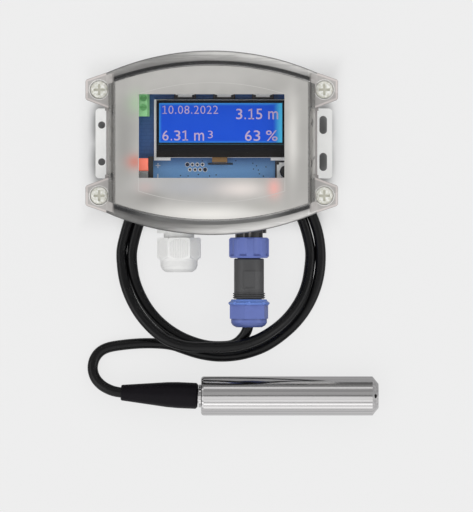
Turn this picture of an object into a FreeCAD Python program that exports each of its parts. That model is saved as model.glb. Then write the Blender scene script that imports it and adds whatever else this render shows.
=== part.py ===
import FreeCAD, Part
import math
import os
import re

import Sketcher

# Hydrostatic level sensor: a wall housing with display, gland and plug, its cable ring and its steel probe.
# The pieces are drawn about the middle of the housing's back, X to the right, Y up the housing, Z out of its
# lid. The housing lies on its back on the cable ring, and the last step moves all of it so that the origin is
# in the middle of the surface it lies on.

# Driving dimensions in millimetres, by sub-assembly.
SIZES = {
    # Cable
    "cable_dia": 5.8,
    "cable_gap": 0.2,
    "coil_x": 5.3,
    "coil_y": -62.7,
    "coil_inner_track": 49.3,
    "coil_track_pitch": 6.0,
    # Housing base
    "base_half": 55.5,
    "base_apex": 46.5,
    "base_arch": 139.0,
    "arch_spare": 1.0,
    "base_height": 34.0,
    "base_wall": 2.5,
    "base_floor": 2.5,
    "panel_face": 46.6,
    "panel_wall": 2.8,
    "panel_left": 33.5,
    "panel_right": 34.0,
    "panel_height": 29.0,
    "entry_height": 14.0,
    "base_ear_depth": 20.0,
    "base_ear_inset": 0.6,
    # Wall flanges
    "flange_left": 64.3,
    "flange_right": 66.5,
    "flange_half": 19.3,
    "flange_thick": 3.0,
    "flange_corner": 2.0,
    "wall_hole_x": 60.9,
    "wall_hole_dia": 4.0,
    "wall_pitch": 20.4,
    "wall_slot_x": 61.5,
    "wall_slot_width": 4.2,
    "wall_slot_length": 10.0,
    # Lid
    "lid_half": 58.0,
    "lid_apex": 50.7,
    "lid_arch": 143.0,
    "lid_height": 16.0,
    "lid_top": 2.4,
    "lid_wall": 2.5,
    "rim_height": 5.5,
    "rim_round": 3.0,
    "raised_half": 54.0,
    "raised_apex": 43.4,
    "raised_arch": 163.0,
    "raised_round": 1.0,
    "ear_reach": 13.8,
    "ear_tip_low": 23.7,
    "ear_tip_high": 34.5,
    "ear_root_low": 19.3,
    "ear_root_high": 38.4,
    "ear_height": 8.0,
    "ear_round": 1.5,
    "rib_inner": 54.4,
    "rib_outer": 56.6,
    "rib_low": 20.2,
    "rib_high": 35.2,
    "rib_height": 9.2,
    "clip_height": 6.6,
    "clip_low": 17.6,
    "clip_outer": 58.6,
    # Lid screws and gasket
    "screw_offset": 6.3,
    "screw_y": 29.1,
    "screw_head_dia": 9.2,
    "screw_head_height": 3.0,
    "screw_shank_dia": 4.2,
    "screw_length": 16.0,
    "screw_gap": 0.15,
    "screw_sink_dia": 10.6,
    "screw_sink_depth": 3.4,
    "screw_slot_width": 1.3,
    "screw_slot_depth": 1.4,
    "gasket_inset": 0.4,
    "gasket_width": 1.7,
    "gasket_height": 2.0,
    "gasket_gap": 0.1,
    # Front film
    "film_margin": 1.2,
    "film_thick": 0.25,
    "film_gap": 0.1,
    "window_left": 40.3,
    "window_right": 39.9,
    "window_low": 19.4,
    "window_high": 26.5,
    # Main board
    "board_level": 29.0,
    "board_thick": 1.6,
    "board_left": 47.0,
    "board_right": 48.0,
    "board_low": 32.0,
    "board_high": 36.5,
    "board_corner_x": 7.0,
    "board_corner_y": 4.0,
    "post_dia": 7.0,
    "post_x": 42.5,
    "post_high": 32.4,
    "post_low": 28.0,
    "post_hole_dia": 2.6,
    "post_hole_depth": 9.0,
    "board_screw_dia": 2.5,
    "board_screw_head": 5.0,
    "board_screw_rise": 1.8,
    "board_screw_length": 8.0,
    "board_hole_dia": 3.0,
    "flex_slot_left": 2.1,
    "flex_slot_right": 11.6,
    "flex_slot_y": 11.5,
    "flex_slot_width": 1.0,
    # Display
    "display_left": 31.7,
    "display_right": 41.5,
    "display_low": 9.7,
    "display_high": 23.8,
    "display_lift": 1.6,
    "display_foot": 3.4,
    "frame_thick": 3.8,
    "frame_low": 8.2,
    "frame_tab": 9.1,
    "glass_side": 1.3,
    "glass_top": 0.5,
    "glass_bottom": 1.7,
    "glass_thick": 2.6,
    "flex_left": 0.2,
    "flex_right": 8.5,
    "flex_thick": 0.3,
    "flex_reach": 0.9,
    # Controller chip
    "chip_x": 5.0,
    "chip_y": 8.0,
    "chip_side": 12.0,
    "chip_thick": 1.2,
    # Terminals
    "supply_left": 42.2,
    "supply_right": 34.2,
    "supply_low": 14.5,
    "supply_high": 29.0,
    "supply_height": 10.0,
    "supply_step": 5.5,
    "supply_pole_x": 37.5,
    "supply_pole_y": 19.5,
    "supply_pitch": 5.08,
    "supply_screw_dia": 3.6,
    "supply_screw_sink": 1.0,
    "supply_screw_depth": 4.0,
    "supply_wire_side": 2.8,
    "bus_left": 45.5,
    "bus_right": 34.8,
    "bus_wall": 2.6,
    "bus_high": 8.5,
    "bus_pole": 6.9,
    "bus_gap": 0.1,
    "bus_seat": 3.0,
    "bus_rise": 8.0,
    "bus_wall_rise": 6.0,
    "bus_wire_dia": 1.4,
    # Keys
    "key_left_x": -14.7,
    "key_middle_x": 6.8,
    "key_right_x": 28.1,
    "key_row_y": 30.2,
    "program_key_x": 40.8,
    "program_key_y": -15.8,
    "key_side": 12.0,
    "key_body_height": 3.4,
    "key_plate": 0.3,
    "key_well_dia": 8.2,
    "key_well_depth": 2.4,
    "key_stem_dia": 6.6,
    "key_collar_dia": 7.6,
    "key_collar": 0.8,
    "key_rise": 3.8,
    "key_gap": 0.1,
    # Programming lamp
    "lamp_x": 33.7,
    "lamp_y": -24.8,
    "lamp_dia": 3.0,
    "lamp_flange_dia": 3.8,
    "lamp_flange": 0.9,
    "lamp_height": 4.2,
    # Cable gland
    "gland_x": -18.1,
    "gland_thread_dia": 15.8,
    "gland_hole_dia": 16.2,
    "gland_inner_end": 35.0,
    "gland_washer_thick": 1.0,
    "gland_washer_dia": 20.0,
    "gland_hex": 21.0,
    "gland_hex_length": 2.0,
    "gland_neck_dia": 16.8,
    "gland_neck_end": 63.2,
    "gland_bore_dia": 11.0,
    "gland_pocket_dia": 14.2,
    "gland_pocket_start": 55.0,
    "gland_lock_hex": 22.0,
    "gland_lock_length": 5.0,
    "gland_seal_dia": 14.0,
    "gland_seal_bore": 9.6,
    "gland_seal_length": 12.0,
    "gland_nut_start": 52.1,
    "gland_nut_hex": 20.9,
    "gland_nut_hex_length": 12.6,
    "gland_nut_length": 19.0,
    "gland_dome_dia": 20.4,
    "gland_mouth_dia": 11.4,
    "thread_gap": 0.3,
    "nut_chamfer": 0.8,
    # Panel socket
    "plug_x": 20.5,
    "socket_gasket_thick": 0.8,
    "socket_flange_dia": 19.2,
    "socket_flange": 2.2,
    "socket_thread_dia": 15.2,
    "socket_rear_dia": 14.8,
    "socket_hole_dia": 15.2,
    "socket_end": 57.0,
    "socket_inner_end": 36.0,
    "socket_cavity_dia": 12.4,
    "socket_cavity_start": 50.0,
    "socket_nut_hex": 18.6,
    "socket_nut_length": 3.6,
    "pin_dia": 1.6,
    "pin_circle": 2.6,
    "pin_end": 55.0,
    "pin_tail": 33.0,
    "pin_gap": 0.05,
    "wire_dia": 1.3,
    "wire_upper_reach": 6.0,
    "wire_lower_reach": 9.5,
    "wire_straight": 0.6,
    "wire_rise": 4.0,
    # Plug
    "ring_start": 52.0,
    "ring_end": 63.3,
    "ring_dia": 22.0,
    "ring_step": 58.5,
    "ring_chamfer": 0.9,
    "ring_grip_count": 8,
    "ring_grip_dia": 14.0,
    "ring_grip_depth": 0.9,
    "ring_grip_turn": 19.0,
    "ring_rim": 1.1,
    "ring_pocket_dia": 4.4,
    "ring_pocket_depth": 1.8,
    "ring_pocket_length": 1.2,
    "plug_nose_start": 50.6,
    "plug_nose_dia": 11.8,
    "plug_flange": 1.0,
    "plug_neck_dia": 12.8,
    "plug_dia": 16.5,
    "plug_end": 85.8,
    "plug_ridge_dia": 17.8,
    "plug_ridge_start": 82.5,
    "plug_ridge": 0.9,
    "plug_ridge_count": 3,
    "plug_panel_start": 70.0,
    "plug_panel_end": 80.0,
    "plug_panel_depth": 0.8,
    "plug_thread_dia": 14.0,
    "plug_thread_end": 93.5,
    "plug_bore_dia": 7.0,
    "plug_bore_start": 68.0,
    "plug_pocket_dia": 11.2,
    "plug_pocket_start": 87.0,
    "plug_seal_stand": 3.3,
    "seal_gap": 0.1,
    "clamp_gap": 0.3,
    "clamp_flange_dia": 23.0,
    "clamp_collar_dia": 20.0,
    "clamp_collar": 0.8,
    "clamp_crest": 2.1,
    "clamp_crest_land": 0.4,
    "clamp_flange": 3.3,
    "clamp_facet_dia": 22.4,
    "clamp_facet_turn": 19.0,
    "clamp_facet_end": 96.8,
    "clamp_facet_count": 6,
    "clamp_cap_dia": 19.8,
    "clamp_end": 101.5,
    "clamp_mouth_dia": 7.4,
    "clamp_notch_count": 8,
    "clamp_notch_dia": 2.6,
    # Probe
    "probe_y": -139.5,
    "probe_dia": 21.6,
    "probe_start": -6.0,
    "probe_end": 92.0,
    "probe_seam": 74.9,
    "probe_wall": 1.8,
    "probe_fit": 0.05,
    "probe_shoulder": 1.4,
    "nose_start": 88.7,
    "nose_tip_dia": 13.5,
    "nose_spigot": 5.0,
    "nose_spigot_wall": 1.0,
    "nose_seat": 84.0,
    "nose_chamber_dia": 9.0,
    "nose_chamber_end": 89.0,
    "inlet_dia": 2.2,
    "inlet_count": 4,
    "inlet_length": 8.0,
    "cell_thick": 5.0,
    "cell_seal_thick": 1.2,
    "cell_seal_width": 2.2,
    "probe_board_start": 12.0,
    "probe_board_half": 5.5,
    "probe_board_thick": 1.6,
    "cap_depth": 8.0,
    "neck_dia": 12.6,
    "neck_length": 1.3,
    "stub_dia": 8.2,
    "stub_length": 7.0,
    # Bend boot
    "boot_start": -50.3,
    "boot_small_dia": 8.7,
    "boot_dia": 14.4,
    "boot_shoulder": -25.0,
    "boot_round": 1.1,
    "boot_gap": 0.1,
    "boot_seat_gap": 0.4,
    "boot_stub_gap": 0.5,
    "boot_lean": 2.5,
}

# Where the housing's middle comes to lie once the origin is under the middle of the whole.
EAR_TIP = "(base_half + ear_reach)"
ROW_X = f"({EAR_TIP} - probe_end) / 2"
ROW_Y = "(probe_dia / 2 - probe_y - lid_apex) / 2"
ROW_Z = "cable_dia + cable_gap"

# Levels that several pieces share.
CABLE_LEVEL = "-cable_gap - cable_dia / 2"
PROBE_LEVEL = "probe_dia / 2 - cable_dia - cable_gap"
BOARD_TOP = "board_level + board_thick"
LID_TOP = "base_height + lid_height"
PANEL_INNER = "panel_face - panel_wall"
SCREW_X = "(base_half + screw_offset)"

doc = FreeCAD.newDocument("level_sensor")
sheet = doc.addObject("Spreadsheet::Sheet", "Dims")


def fill_sheet():
    """Writes the driving dimensions to the sheet, one row each."""
    for row, (alias, value) in enumerate(SIZES.items(), start=1):
        sheet.set(f"A{row}", alias)
        sheet.set(f"B{row}", str(value))
        sheet.setAlias(f"B{row}", alias)
    doc.recompute()


def cells(text):
    """An expression in which each size's name points at its cell."""
    return re.sub(r"[a-z_]+[a-z]", lambda m: "Dims." + m[0] if m[0] in SIZES else m[0], str(text))


def value(text):
    """What an expression of sizes comes to now."""
    return float(sheet.evalExpression(cells(text)))


def bind(obj, prop, text):
    """Ties one property to an expression of sizes."""
    obj.setExpression(prop, cells(text))


def place(obj, point):
    """Ties an object's place to three expressions."""
    for axis, text in zip("xyz", point):
        bind(obj, f"Placement.Base.{axis}", text)


# Rotations that lay an object's own Z axis along a named axis.
ALONG = {
    "x": FreeCAD.Rotation(FreeCAD.Vector(0, 1, 0), 90),
    "y": FreeCAD.Rotation(FreeCAD.Vector(1, 0, 0), -90),
    "z": FreeCAD.Rotation(),
}


def block(name, low, high):
    """A box between two corners."""
    box = doc.addObject("Part::Box", name)
    for prop, a, b in zip(("Length", "Width", "Height"), low, high):
        bind(box, prop, f"({b}) - ({a})")
    place(box, low)
    return box


def rod(name, axis, dia, low, length):
    """A cylinder from a point along an axis."""
    cylinder = doc.addObject("Part::Cylinder", name)
    cylinder.Placement = FreeCAD.Placement(FreeCAD.Vector(), ALONG[axis])
    bind(cylinder, "Radius", f"({dia}) / 2")
    bind(cylinder, "Height", length)
    place(cylinder, low)
    return cylinder


def many_sided(name, axis, sides, corner_dia, low, length, turn="0"):
    """A regular prism from a point along an axis, by its size across corners, turned about its own axis."""
    prism = doc.addObject("Part::Prism", name)
    own_turn = FreeCAD.Rotation(FreeCAD.Vector(0, 0, 1), value(turn))
    prism.Placement = FreeCAD.Placement(FreeCAD.Vector(), ALONG[axis].multiply(own_turn))
    bind(prism, "Polygon", sides)
    bind(prism, "Circumradius", f"({corner_dia}) / 2")
    bind(prism, "Height", length)
    place(prism, low)
    return prism


def hexagon(name, axis, across_flats, low, length):
    """A hexagon prism by its size across flats."""
    return many_sided(name, axis, "6", f"({across_flats}) / cos(30 deg)", low, length)


def cut(name, base, *tools):
    """A piece less its tools."""
    result = doc.addObject("Part::Cut", name)
    result.Base = base
    result.Tool = tools[0] if len(tools) == 1 else bundle(f"{name}_tools", tools)
    return result


def fuse(name, *pieces):
    """Several pieces as one solid."""
    result = doc.addObject("Part::MultiFuse", name)
    result.Shapes = list(pieces)
    result.Refine = True
    return result


def common(name, *pieces):
    """What several pieces share."""
    result = doc.addObject("Part::MultiCommon", name)
    result.Shapes = list(pieces)
    return result


def bundle(name, pieces):
    """Several solids kept apart in one object."""
    result = doc.addObject("Part::Compound", name)
    result.Links = list(pieces)
    return result


def mirrored(name, source, normal):
    """A copy on the other side of a plane through the housing's middle."""
    result = doc.addObject("Part::Mirroring", name)
    result.Source = source
    result.Normal = FreeCAD.Vector(*normal)
    return result


def four_corners(name, source):
    """A piece of the upper right corner, with its copies at the other three."""
    left = mirrored(f"{name}_left", source, (1, 0, 0))
    low = mirrored(f"{name}_low", source, (0, 1, 0))
    low_left = mirrored(f"{name}_low_left", left, (0, 1, 0))
    return [source, left, low, low_left]


def rounded(name, source, radius, wanted):
    """A piece with a fillet on the edges that a test of their ends picks."""
    doc.recompute()
    size = value(radius)
    result = doc.addObject("Part::Fillet", name)
    result.Base = source
    edges = []
    for number, edge in enumerate(source.Shape.Edges, start=1):
        if wanted([vertex.Point for vertex in edge.Vertexes]):
            edges.append((number, size, size))
    result.Edges = edges
    return result


def flat_ends(level):
    """A test for edges that lie at one height."""
    height = value(level)
    return lambda ends: all(abs(end.z - height) < 1e-6 for end in ends)


def upright_beyond(level):
    """A test for upright edges at least a distance from the middle along X."""
    limit = value(level) - 1e-6

    def test(ends):
        rise = ends[-1] - ends[0]
        upright = abs(rise.x) < 1e-6 and abs(rise.y) < 1e-6
        return upright and all(abs(end.x) > limit for end in ends)

    return test


def draw(body, name, plane, points):
    """A closed outline of straight runs on one of a body's own planes, each corner tied to the sheet."""
    sketch = body.newObject("Sketcher::SketchObject", name)
    support = [feature for feature in body.Origin.OriginFeatures if feature.Role == plane]
    sketch.AttachmentSupport = [(support[0], "")]
    sketch.MapMode = "FlatFace"
    corners = [FreeCAD.Vector(value(x), value(y), 0) for x, y in points]
    runs = zip(corners, corners[1:] + corners[:1])
    sketch.addGeometry([Part.LineSegment(here, there) for here, there in runs], False)
    joins = []
    rules = []
    names = {}
    for number, (point, corner) in enumerate(zip(points, corners)):
        after = (number + 1) % len(points)
        joins.append(Sketcher.Constraint("Coincident", number, 2, after, 1))
        for kind, text, now in zip("XY", point, corner):
            names[f"corner_{number}_{kind}"] = text
            rules.append(Sketcher.Constraint(f"Distance{kind}", -1, 1, number, 1, now))
    sketch.addConstraint(joins + rules)
    for place_in_list, (rule_name, text) in enumerate(names.items(), start=len(joins)):
        sketch.renameConstraint(place_in_list, rule_name)
        bind(sketch, f"Constraints.{rule_name}", text)
    return sketch


def turned(name, axis, points, middle):
    """A turned piece: its half section as pairs of place along the axis and diameter."""
    body = doc.addObject("PartDesign::Body", name)
    halves = [(along, f"({dia}) / 2") for along, dia in points]
    if axis != "x":
        halves = [(radius, along) for along, radius in halves]
    plane = "XZ_Plane" if axis == "z" else "XY_Plane"
    sketch = draw(body, f"{name}_section", plane, halves)
    turn = body.newObject("PartDesign::Revolution", f"{name}_turn")
    turn.Profile = sketch
    turn.ReferenceAxis = (sketch, ["H_Axis" if axis == "x" else "V_Axis"])
    turn.Angle = 360
    place(body, middle)
    return body


def padded(name, points, low, height, plane="XY_Plane"):
    """A plate of one outline, raised from a level."""
    body = doc.addObject("PartDesign::Body", name)
    sketch = draw(body, f"{name}_outline", plane, points)
    pad = body.newObject("PartDesign::Pad", f"{name}_pad")
    pad.Profile = sketch
    bind(pad, "Length", height)
    bind(body, "Placement.Base.z", low)
    return body


def arched(name, half, apex, arch, low, high):
    """A block with straight sides whose upper and lower edges are arcs about the housing's middle."""
    beyond = f"({apex}) + arch_spare"
    sides = block(f"{name}_sides", (f"-({half})", f"-({beyond})", low), (half, beyond, high))
    over = ("0", f"({apex}) - ({arch})", low)
    under = ("0", f"({arch}) - ({apex})", low)
    upper = rod(f"{name}_upper", "z", f"2 * ({arch})", over, f"({high}) - ({low})")
    lower = rod(f"{name}_lower", "z", f"2 * ({arch})", under, f"({high}) - ({low})")
    return common(name, sides, upper, lower)


NODES = {}


def node(label, piece):
    """Makes a finished piece a named node, set down in the frame of the whole."""
    whole = doc.addObject("Part::Compound", f"node_{label}")
    whole.Links = [piece]
    whole.Label = label
    place(whole, (ROW_X, ROW_Y, ROW_Z))
    NODES[label] = whole


# Housing base

def base_shell():
    """The arched tub with its flat panel for the gland and the socket."""
    outer = arched("base_outer", "base_half", "base_apex", "base_arch", "0", "base_height")
    panel = block(
        "panel_outer",
        ("-panel_left", "-panel_face", "0"),
        ("panel_right", "base_wall - panel_face", "panel_height"),
    )
    cavity = arched(
        "base_cavity",
        "base_half - base_wall",
        "base_apex - base_wall",
        "base_arch - base_wall",
        "base_floor",
        "base_height + base_wall",
    )
    recess = block(
        "panel_recess",
        ("base_wall - panel_left", f"-({PANEL_INNER})", "base_floor"),
        ("panel_right - base_wall", "-base_apex / 2", "panel_height - base_wall"),
    )
    solid = fuse("base_block", outer, panel)
    return cut("base_shell", solid, cavity, recess)


def base_ears():
    """The four corner blocks that take the lid screws."""
    inset = "base_ear_inset"
    outline = [
        ("base_half - base_wall / 2", f"ear_tip_high + {inset}"),
        (f"{EAR_TIP} - {inset}", f"ear_tip_high - {inset}"),
        (f"{EAR_TIP} - {inset}", f"ear_tip_low + {inset}"),
        ("base_half - base_wall / 2", f"ear_root_low + {inset}"),
    ]
    ear = padded("base_ear", outline, "base_height - base_ear_depth", "base_ear_depth")
    return four_corners("base_ear", ear)


def wall_flanges():
    """The two flat flanges that are screwed to the wall."""
    inner = "base_half - base_wall / 2"
    left = block("flange_left_block", ("-flange_left", "-flange_half", "0"),
                 (f"-({inner})", "flange_half", "flange_thick"))
    right = block("flange_right_block", (inner, "-flange_half", "0"),
                  ("flange_right", "flange_half", "flange_thick"))
    return [
        rounded("flange_left_plate", left, "flange_corner", upright_beyond("flange_left")),
        rounded("flange_right_plate", right, "flange_corner", upright_beyond("flange_right")),
    ]


def wall_holes():
    """Round holes in the left flange and upright slots in the right one."""
    tools = []
    depth = "flange_thick + 2"
    straight = "wall_slot_length - wall_slot_width"
    for side, sign in (("high", "1"), ("low", "-1")):
        row = f"{sign} * wall_pitch / 2"
        tools.append(rod(f"wall_hole_{side}", "z", "wall_hole_dia", ("-wall_hole_x", row, "-1"), depth))
        for end, step in (("top", "1"), ("bottom", "-1")):
            at = ("wall_slot_x", f"{row} + {step} * ({straight}) / 2", "-1")
            tools.append(rod(f"wall_slot_{side}_{end}", "z", "wall_slot_width", at, depth))
        tools.append(block(
            f"wall_slot_{side}",
            ("wall_slot_x - wall_slot_width / 2", f"{row} - ({straight}) / 2", "-1"),
            ("wall_slot_x + wall_slot_width / 2", f"{row} + ({straight}) / 2", "flange_thick + 1"),
        ))
    return tools


POSTS = {
    "post_a": ("-post_x", "post_high"),
    "post_b": ("post_x", "post_high"),
    "post_c": ("-post_x", "-post_low"),
    "post_d": ("post_x", "-post_low"),
}


def housing_base():
    """The white lower shell."""
    posts = []
    holes = wall_holes()
    for name, (x, y) in POSTS.items():
        posts.append(rod(name, "z", "post_dia", (x, y, "base_floor / 2"), "board_level - base_floor / 2"))
        holes.append(rod(f"{name}_hole", "z", "post_hole_dia", (x, y, "board_level - post_hole_depth"),
                         "post_hole_depth + 1"))
    screw_hole = rod("ear_hole", "z", "screw_shank_dia + 2 * screw_gap",
                     (SCREW_X, "screw_y", "base_height - base_ear_depth + base_wall"), "base_ear_depth")
    holes += four_corners("ear_hole", screw_hole)
    for name, x, dia in (("gland", "gland_x", "gland_hole_dia"), ("socket", "plug_x", "socket_hole_dia")):
        start = (x, "-panel_face - 1", "entry_height")
        holes.append(rod(f"{name}_hole", "y", dia, start, "panel_wall + 2"))
    solid = fuse("base_solid", base_shell(), *base_ears(), *wall_flanges(), *posts)
    node("housing_base", cut("base_drilled", solid, *holes))


# Lid

def lid_ears():
    """The four lid ears, their tips rounded."""
    root = "lid_half - lid_wall - 1"
    outline = [
        (root, "ear_root_high"),
        ("lid_half", "ear_root_high"),
        (EAR_TIP, "ear_tip_high"),
        (EAR_TIP, "ear_tip_low"),
        ("lid_half", "ear_root_low"),
        (root, "ear_root_low"),
    ]
    ear = padded("lid_ear_plate", outline, "base_height", "ear_height")
    ear = rounded("lid_ear", ear, "ear_round", upright_beyond(EAR_TIP))
    return four_corners("lid_ear", ear)


def gasket_ring(name, spare, high):
    """The ring over the middle of the base's wall, with spare room on each side."""
    outer = f"gasket_inset - {spare}"
    inner = f"gasket_inset + gasket_width + {spare}"
    ring = arched(f"{name}_outer", f"base_half - ({outer})", f"base_apex - ({outer})",
                  f"base_arch - ({outer})", "base_height", high)
    hole = arched(f"{name}_inner", f"base_half - ({inner})", f"base_apex - ({inner})",
                  f"base_arch - ({inner})", "base_height - 1", f"{high} + 1")
    return cut(name, ring, hole)


def film_plate(name, spare, high):
    """The film's outline at the top of the lid, with spare room round it."""
    margin = f"film_margin - {spare}"
    return arched(name, f"raised_half - ({margin})", f"raised_apex - ({margin})",
                  f"raised_arch - ({margin})", f"{LID_TOP} - film_thick", high)


def lid():
    """The clear cover: an arched rim with ears, and a raised hollow panel."""
    rim_top = "base_height + rim_height"
    rim = arched("rim_block", "lid_half", "lid_apex", "lid_arch", "base_height", rim_top)
    rim = rounded("rim", rim, "rim_round", flat_ends(rim_top))
    raised = arched("raised_block", "raised_half", "raised_apex", "raised_arch", "base_height", LID_TOP)
    raised = rounded("raised", raised, "raised_round", flat_ends(LID_TOP))
    rib = block("ear_rib", ("rib_inner", "rib_low", "base_height"),
                ("rib_outer", "rib_high", "base_height + rib_height"))
    clip = block("ear_clip", ("rib_inner", "clip_low", "base_height"),
                 ("clip_outer", "rib_low + 1", "base_height + clip_height"))
    ribs = four_corners("ear_rib", rib) + four_corners("ear_clip", clip)
    solid = fuse("lid_solid", rim, raised, *lid_ears(), *ribs)
    cavity = arched("lid_cavity", "raised_half - lid_wall", "raised_apex - lid_wall",
                    "raised_arch - lid_wall", "base_height - 1", f"{LID_TOP} - lid_top")
    groove = gasket_ring("lid_groove", "gasket_gap", "base_height + gasket_height")
    recess = film_plate("film_recess", "film_gap", f"{LID_TOP} + 1")
    hole = rod("lid_hole", "z", "screw_shank_dia + 2 * screw_gap",
               (SCREW_X, "screw_y", "base_height - 1"), "ear_height")
    sink = rod("lid_sink", "z", "screw_sink_dia",
               (SCREW_X, "screw_y", "base_height + ear_height - screw_sink_depth"), "screw_sink_depth + 1")
    drills = four_corners("lid_hole", hole) + four_corners("lid_sink", sink)
    node("lid", cut("lid_drilled", solid, cavity, groove, recess, *drills))
    node("lid_gasket", gasket_ring("gasket", "0", "base_height + gasket_height"))


def lid_screws():
    """Four screws with a cross slot in a rounded pan head."""
    seat = "base_height + ear_height - screw_sink_depth"
    top = f"{seat} + screw_head_height"
    section = [
        (f"{seat} - screw_length", "0"),
        (f"{seat} - screw_length", "screw_shank_dia / 2"),
        (f"{seat} - screw_length + screw_shank_dia / 3", "screw_shank_dia"),
        (seat, "screw_shank_dia"),
        (seat, "screw_head_dia"),
        (f"{top} - screw_head_height / 3", "screw_head_dia"),
        (top, "screw_head_dia * 0.74"),
        (top, "0"),
    ]
    blank = turned("lid_screw_blank", "z", section, (SCREW_X, "screw_y", "0"))
    slots = []
    for name, along, across in (("slot_x", "screw_head_dia / 3", "screw_slot_width / 2"),
                                ("slot_y", "screw_slot_width / 2", "screw_head_dia / 3")):
        slots.append(block(
            f"lid_screw_{name}",
            (f"{SCREW_X} - {along}", f"screw_y - {across}", f"{top} - screw_slot_depth"),
            (f"{SCREW_X} + {along}", f"screw_y + {across}", f"{top} + 1"),
        ))
    screw = cut("lid_screw", blank, *slots)
    node("lid_screws", bundle("lid_screw_set", four_corners("lid_screw", screw)))


def front_film():
    """The frosted film with its clear window."""
    plate = film_plate("film_plate", "0", LID_TOP)
    window = block("film_window", ("-window_left", "-window_low", "base_height"),
                   ("window_right", "window_high", f"{LID_TOP} + 1"))
    node("front_film", cut("film", plate, window))


# Electronics

def main_board():
    """The board on its four posts, with the slot that the display's flex goes through."""
    outline = [
        ("-board_left", "-board_low"),
        ("board_right", "-board_low"),
        ("board_right", "board_high - board_corner_y"),
        ("board_right - board_corner_x", "board_high"),
        ("board_corner_x - board_left", "board_high"),
        ("-board_left", "board_high - board_corner_y"),
    ]
    plate = padded("board_plate", outline, "board_level", "board_thick")
    holes = [block(
        "flex_slot",
        ("-flex_slot_left", "-flex_slot_y - flex_slot_width / 2", "board_level - 1"),
        ("flex_slot_right", "flex_slot_width / 2 - flex_slot_y", f"{BOARD_TOP} + 1"),
    )]
    screws = []
    for name, (x, y) in POSTS.items():
        holes.append(rod(f"board_hole_{name}", "z", "board_hole_dia", (x, y, "board_level - 1"),
                         "board_thick + 2"))
        section = [
            (f"{BOARD_TOP} - board_screw_length", "0"),
            (f"{BOARD_TOP} - board_screw_length", "board_screw_dia"),
            (BOARD_TOP, "board_screw_dia"),
            (BOARD_TOP, "board_screw_head"),
            (f"{BOARD_TOP} + board_screw_rise / 2", "board_screw_head"),
            (f"{BOARD_TOP} + board_screw_rise", "board_screw_head * 0.7"),
            (f"{BOARD_TOP} + board_screw_rise", "0"),
        ]
        screws.append(turned(f"board_screw_{name}", "z", section, (x, y, "0")))
    node("main_board", cut("board", plate, *holes))
    node("board_screws", bundle("board_screw_set", screws))


def display():
    """The white backlight frame on its feet, the glass on it and the flex down to the board."""
    frame_low = f"{BOARD_TOP} + display_lift"
    frame_top = f"{frame_low} + frame_thick"
    frame = block("display_plate", ("-display_left", "-frame_low", frame_low),
                  ("display_right", "display_high", frame_top))
    feet = []
    for name, x in (("left", "-display_left"), ("right", "display_right - frame_tab")):
        feet.append(block(f"display_tab_{name}", (x, "-display_low", frame_low),
                          (f"{x} + frame_tab", "-frame_low", frame_top)))
    for name, x in (("left", "-display_left"), ("right", "display_right - display_foot")):
        for end, y in (("low", "-display_low"), ("high", "display_high - display_foot")):
            feet.append(block(f"display_foot_{name}_{end}", (x, y, BOARD_TOP),
                              (f"{x} + display_foot", f"{y} + display_foot", frame_low)))
    node("display_frame", fuse("display_tray", frame, *feet))
    glass = block(
        "display_pane",
        ("glass_side - display_left", "glass_bottom - display_low", frame_top),
        ("display_right - glass_side", "display_high - glass_top", f"{frame_top} + glass_thick"),
    )
    node("display_glass", glass)
    bend = "-display_low - flex_reach"
    slot_wall = "-flex_slot_y - flex_thick / 2"
    strip = [
        ("glass_bottom - display_low", frame_top),
        ("glass_bottom - display_low", f"{frame_top} + flex_thick"),
        (bend, f"{frame_top} + flex_thick"),
        (slot_wall, f"{BOARD_TOP} + flex_thick"),
        (slot_wall, "board_level"),
        (f"{slot_wall} + flex_thick", "board_level"),
        (f"{slot_wall} + flex_thick", f"{BOARD_TOP} + flex_thick"),
        (f"{bend} + flex_thick", frame_top),
    ]
    flex = padded("flex_strip", strip, "0", "flex_right - flex_left", plane="YZ_Plane")
    bind(flex, "Placement.Base.x", "flex_left")
    node("display_flex", flex)
    chip_half = "chip_side / 2"
    node("controller_chip", block(
        "chip", (f"chip_x - {chip_half}", f"chip_y - {chip_half}", BOARD_TOP),
        (f"chip_x + {chip_half}", f"chip_y + {chip_half}", f"{BOARD_TOP} + chip_thick"),
    ))


def supply_terminal():
    """The green two-pole terminal: stepped, with wire mouths and sunk clamp screws."""
    top = f"{BOARD_TOP} + supply_height"
    section = [
        ("-supply_left", BOARD_TOP),
        ("-supply_right", BOARD_TOP),
        ("-supply_right", f"{BOARD_TOP} + supply_step"),
        ("-supply_right - 1.2", top),
        ("-supply_left", top),
    ]
    body = padded("supply_body", section, "0", "supply_high - supply_low", plane="XZ_Plane")
    bind(body, "Placement.Base.y", "supply_high")
    tools = []
    screws = []
    for pole in range(2):
        y = f"supply_pole_y + {pole} * supply_pitch"
        floor = f"{top} - supply_screw_sink - supply_screw_depth"
        tools.append(rod(f"supply_well_{pole}", "z", "supply_screw_dia + 0.2", ("-supply_pole_x", y, floor),
                         "supply_screw_depth + supply_screw_sink + 1"))
        tools.append(block(
            f"supply_mouth_{pole}",
            ("-supply_left - 1", f"{y} - supply_wire_side / 2", f"{BOARD_TOP} + 1.4"),
            ("-supply_left + 2", f"{y} + supply_wire_side / 2", f"{BOARD_TOP} + 1.4 + supply_wire_side"),
        ))
        head = rod(f"supply_screw_{pole}", "z", "supply_screw_dia", ("-supply_pole_x", y, floor),
                   "supply_screw_depth")
        slot = block(
            f"supply_screw_slot_{pole}",
            ("-supply_pole_x - supply_screw_dia", f"{y} - 0.3", f"{top} - supply_screw_sink - 0.8"),
            ("supply_screw_dia - supply_pole_x", f"{y} + 0.3", top),
        )
        screws.append(cut(f"supply_screw_cut_{pole}", head, slot))
    node("supply_terminal", cut("supply_block", body, *tools))
    node("terminal_screws", bundle("supply_screw_set", screws))


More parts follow.
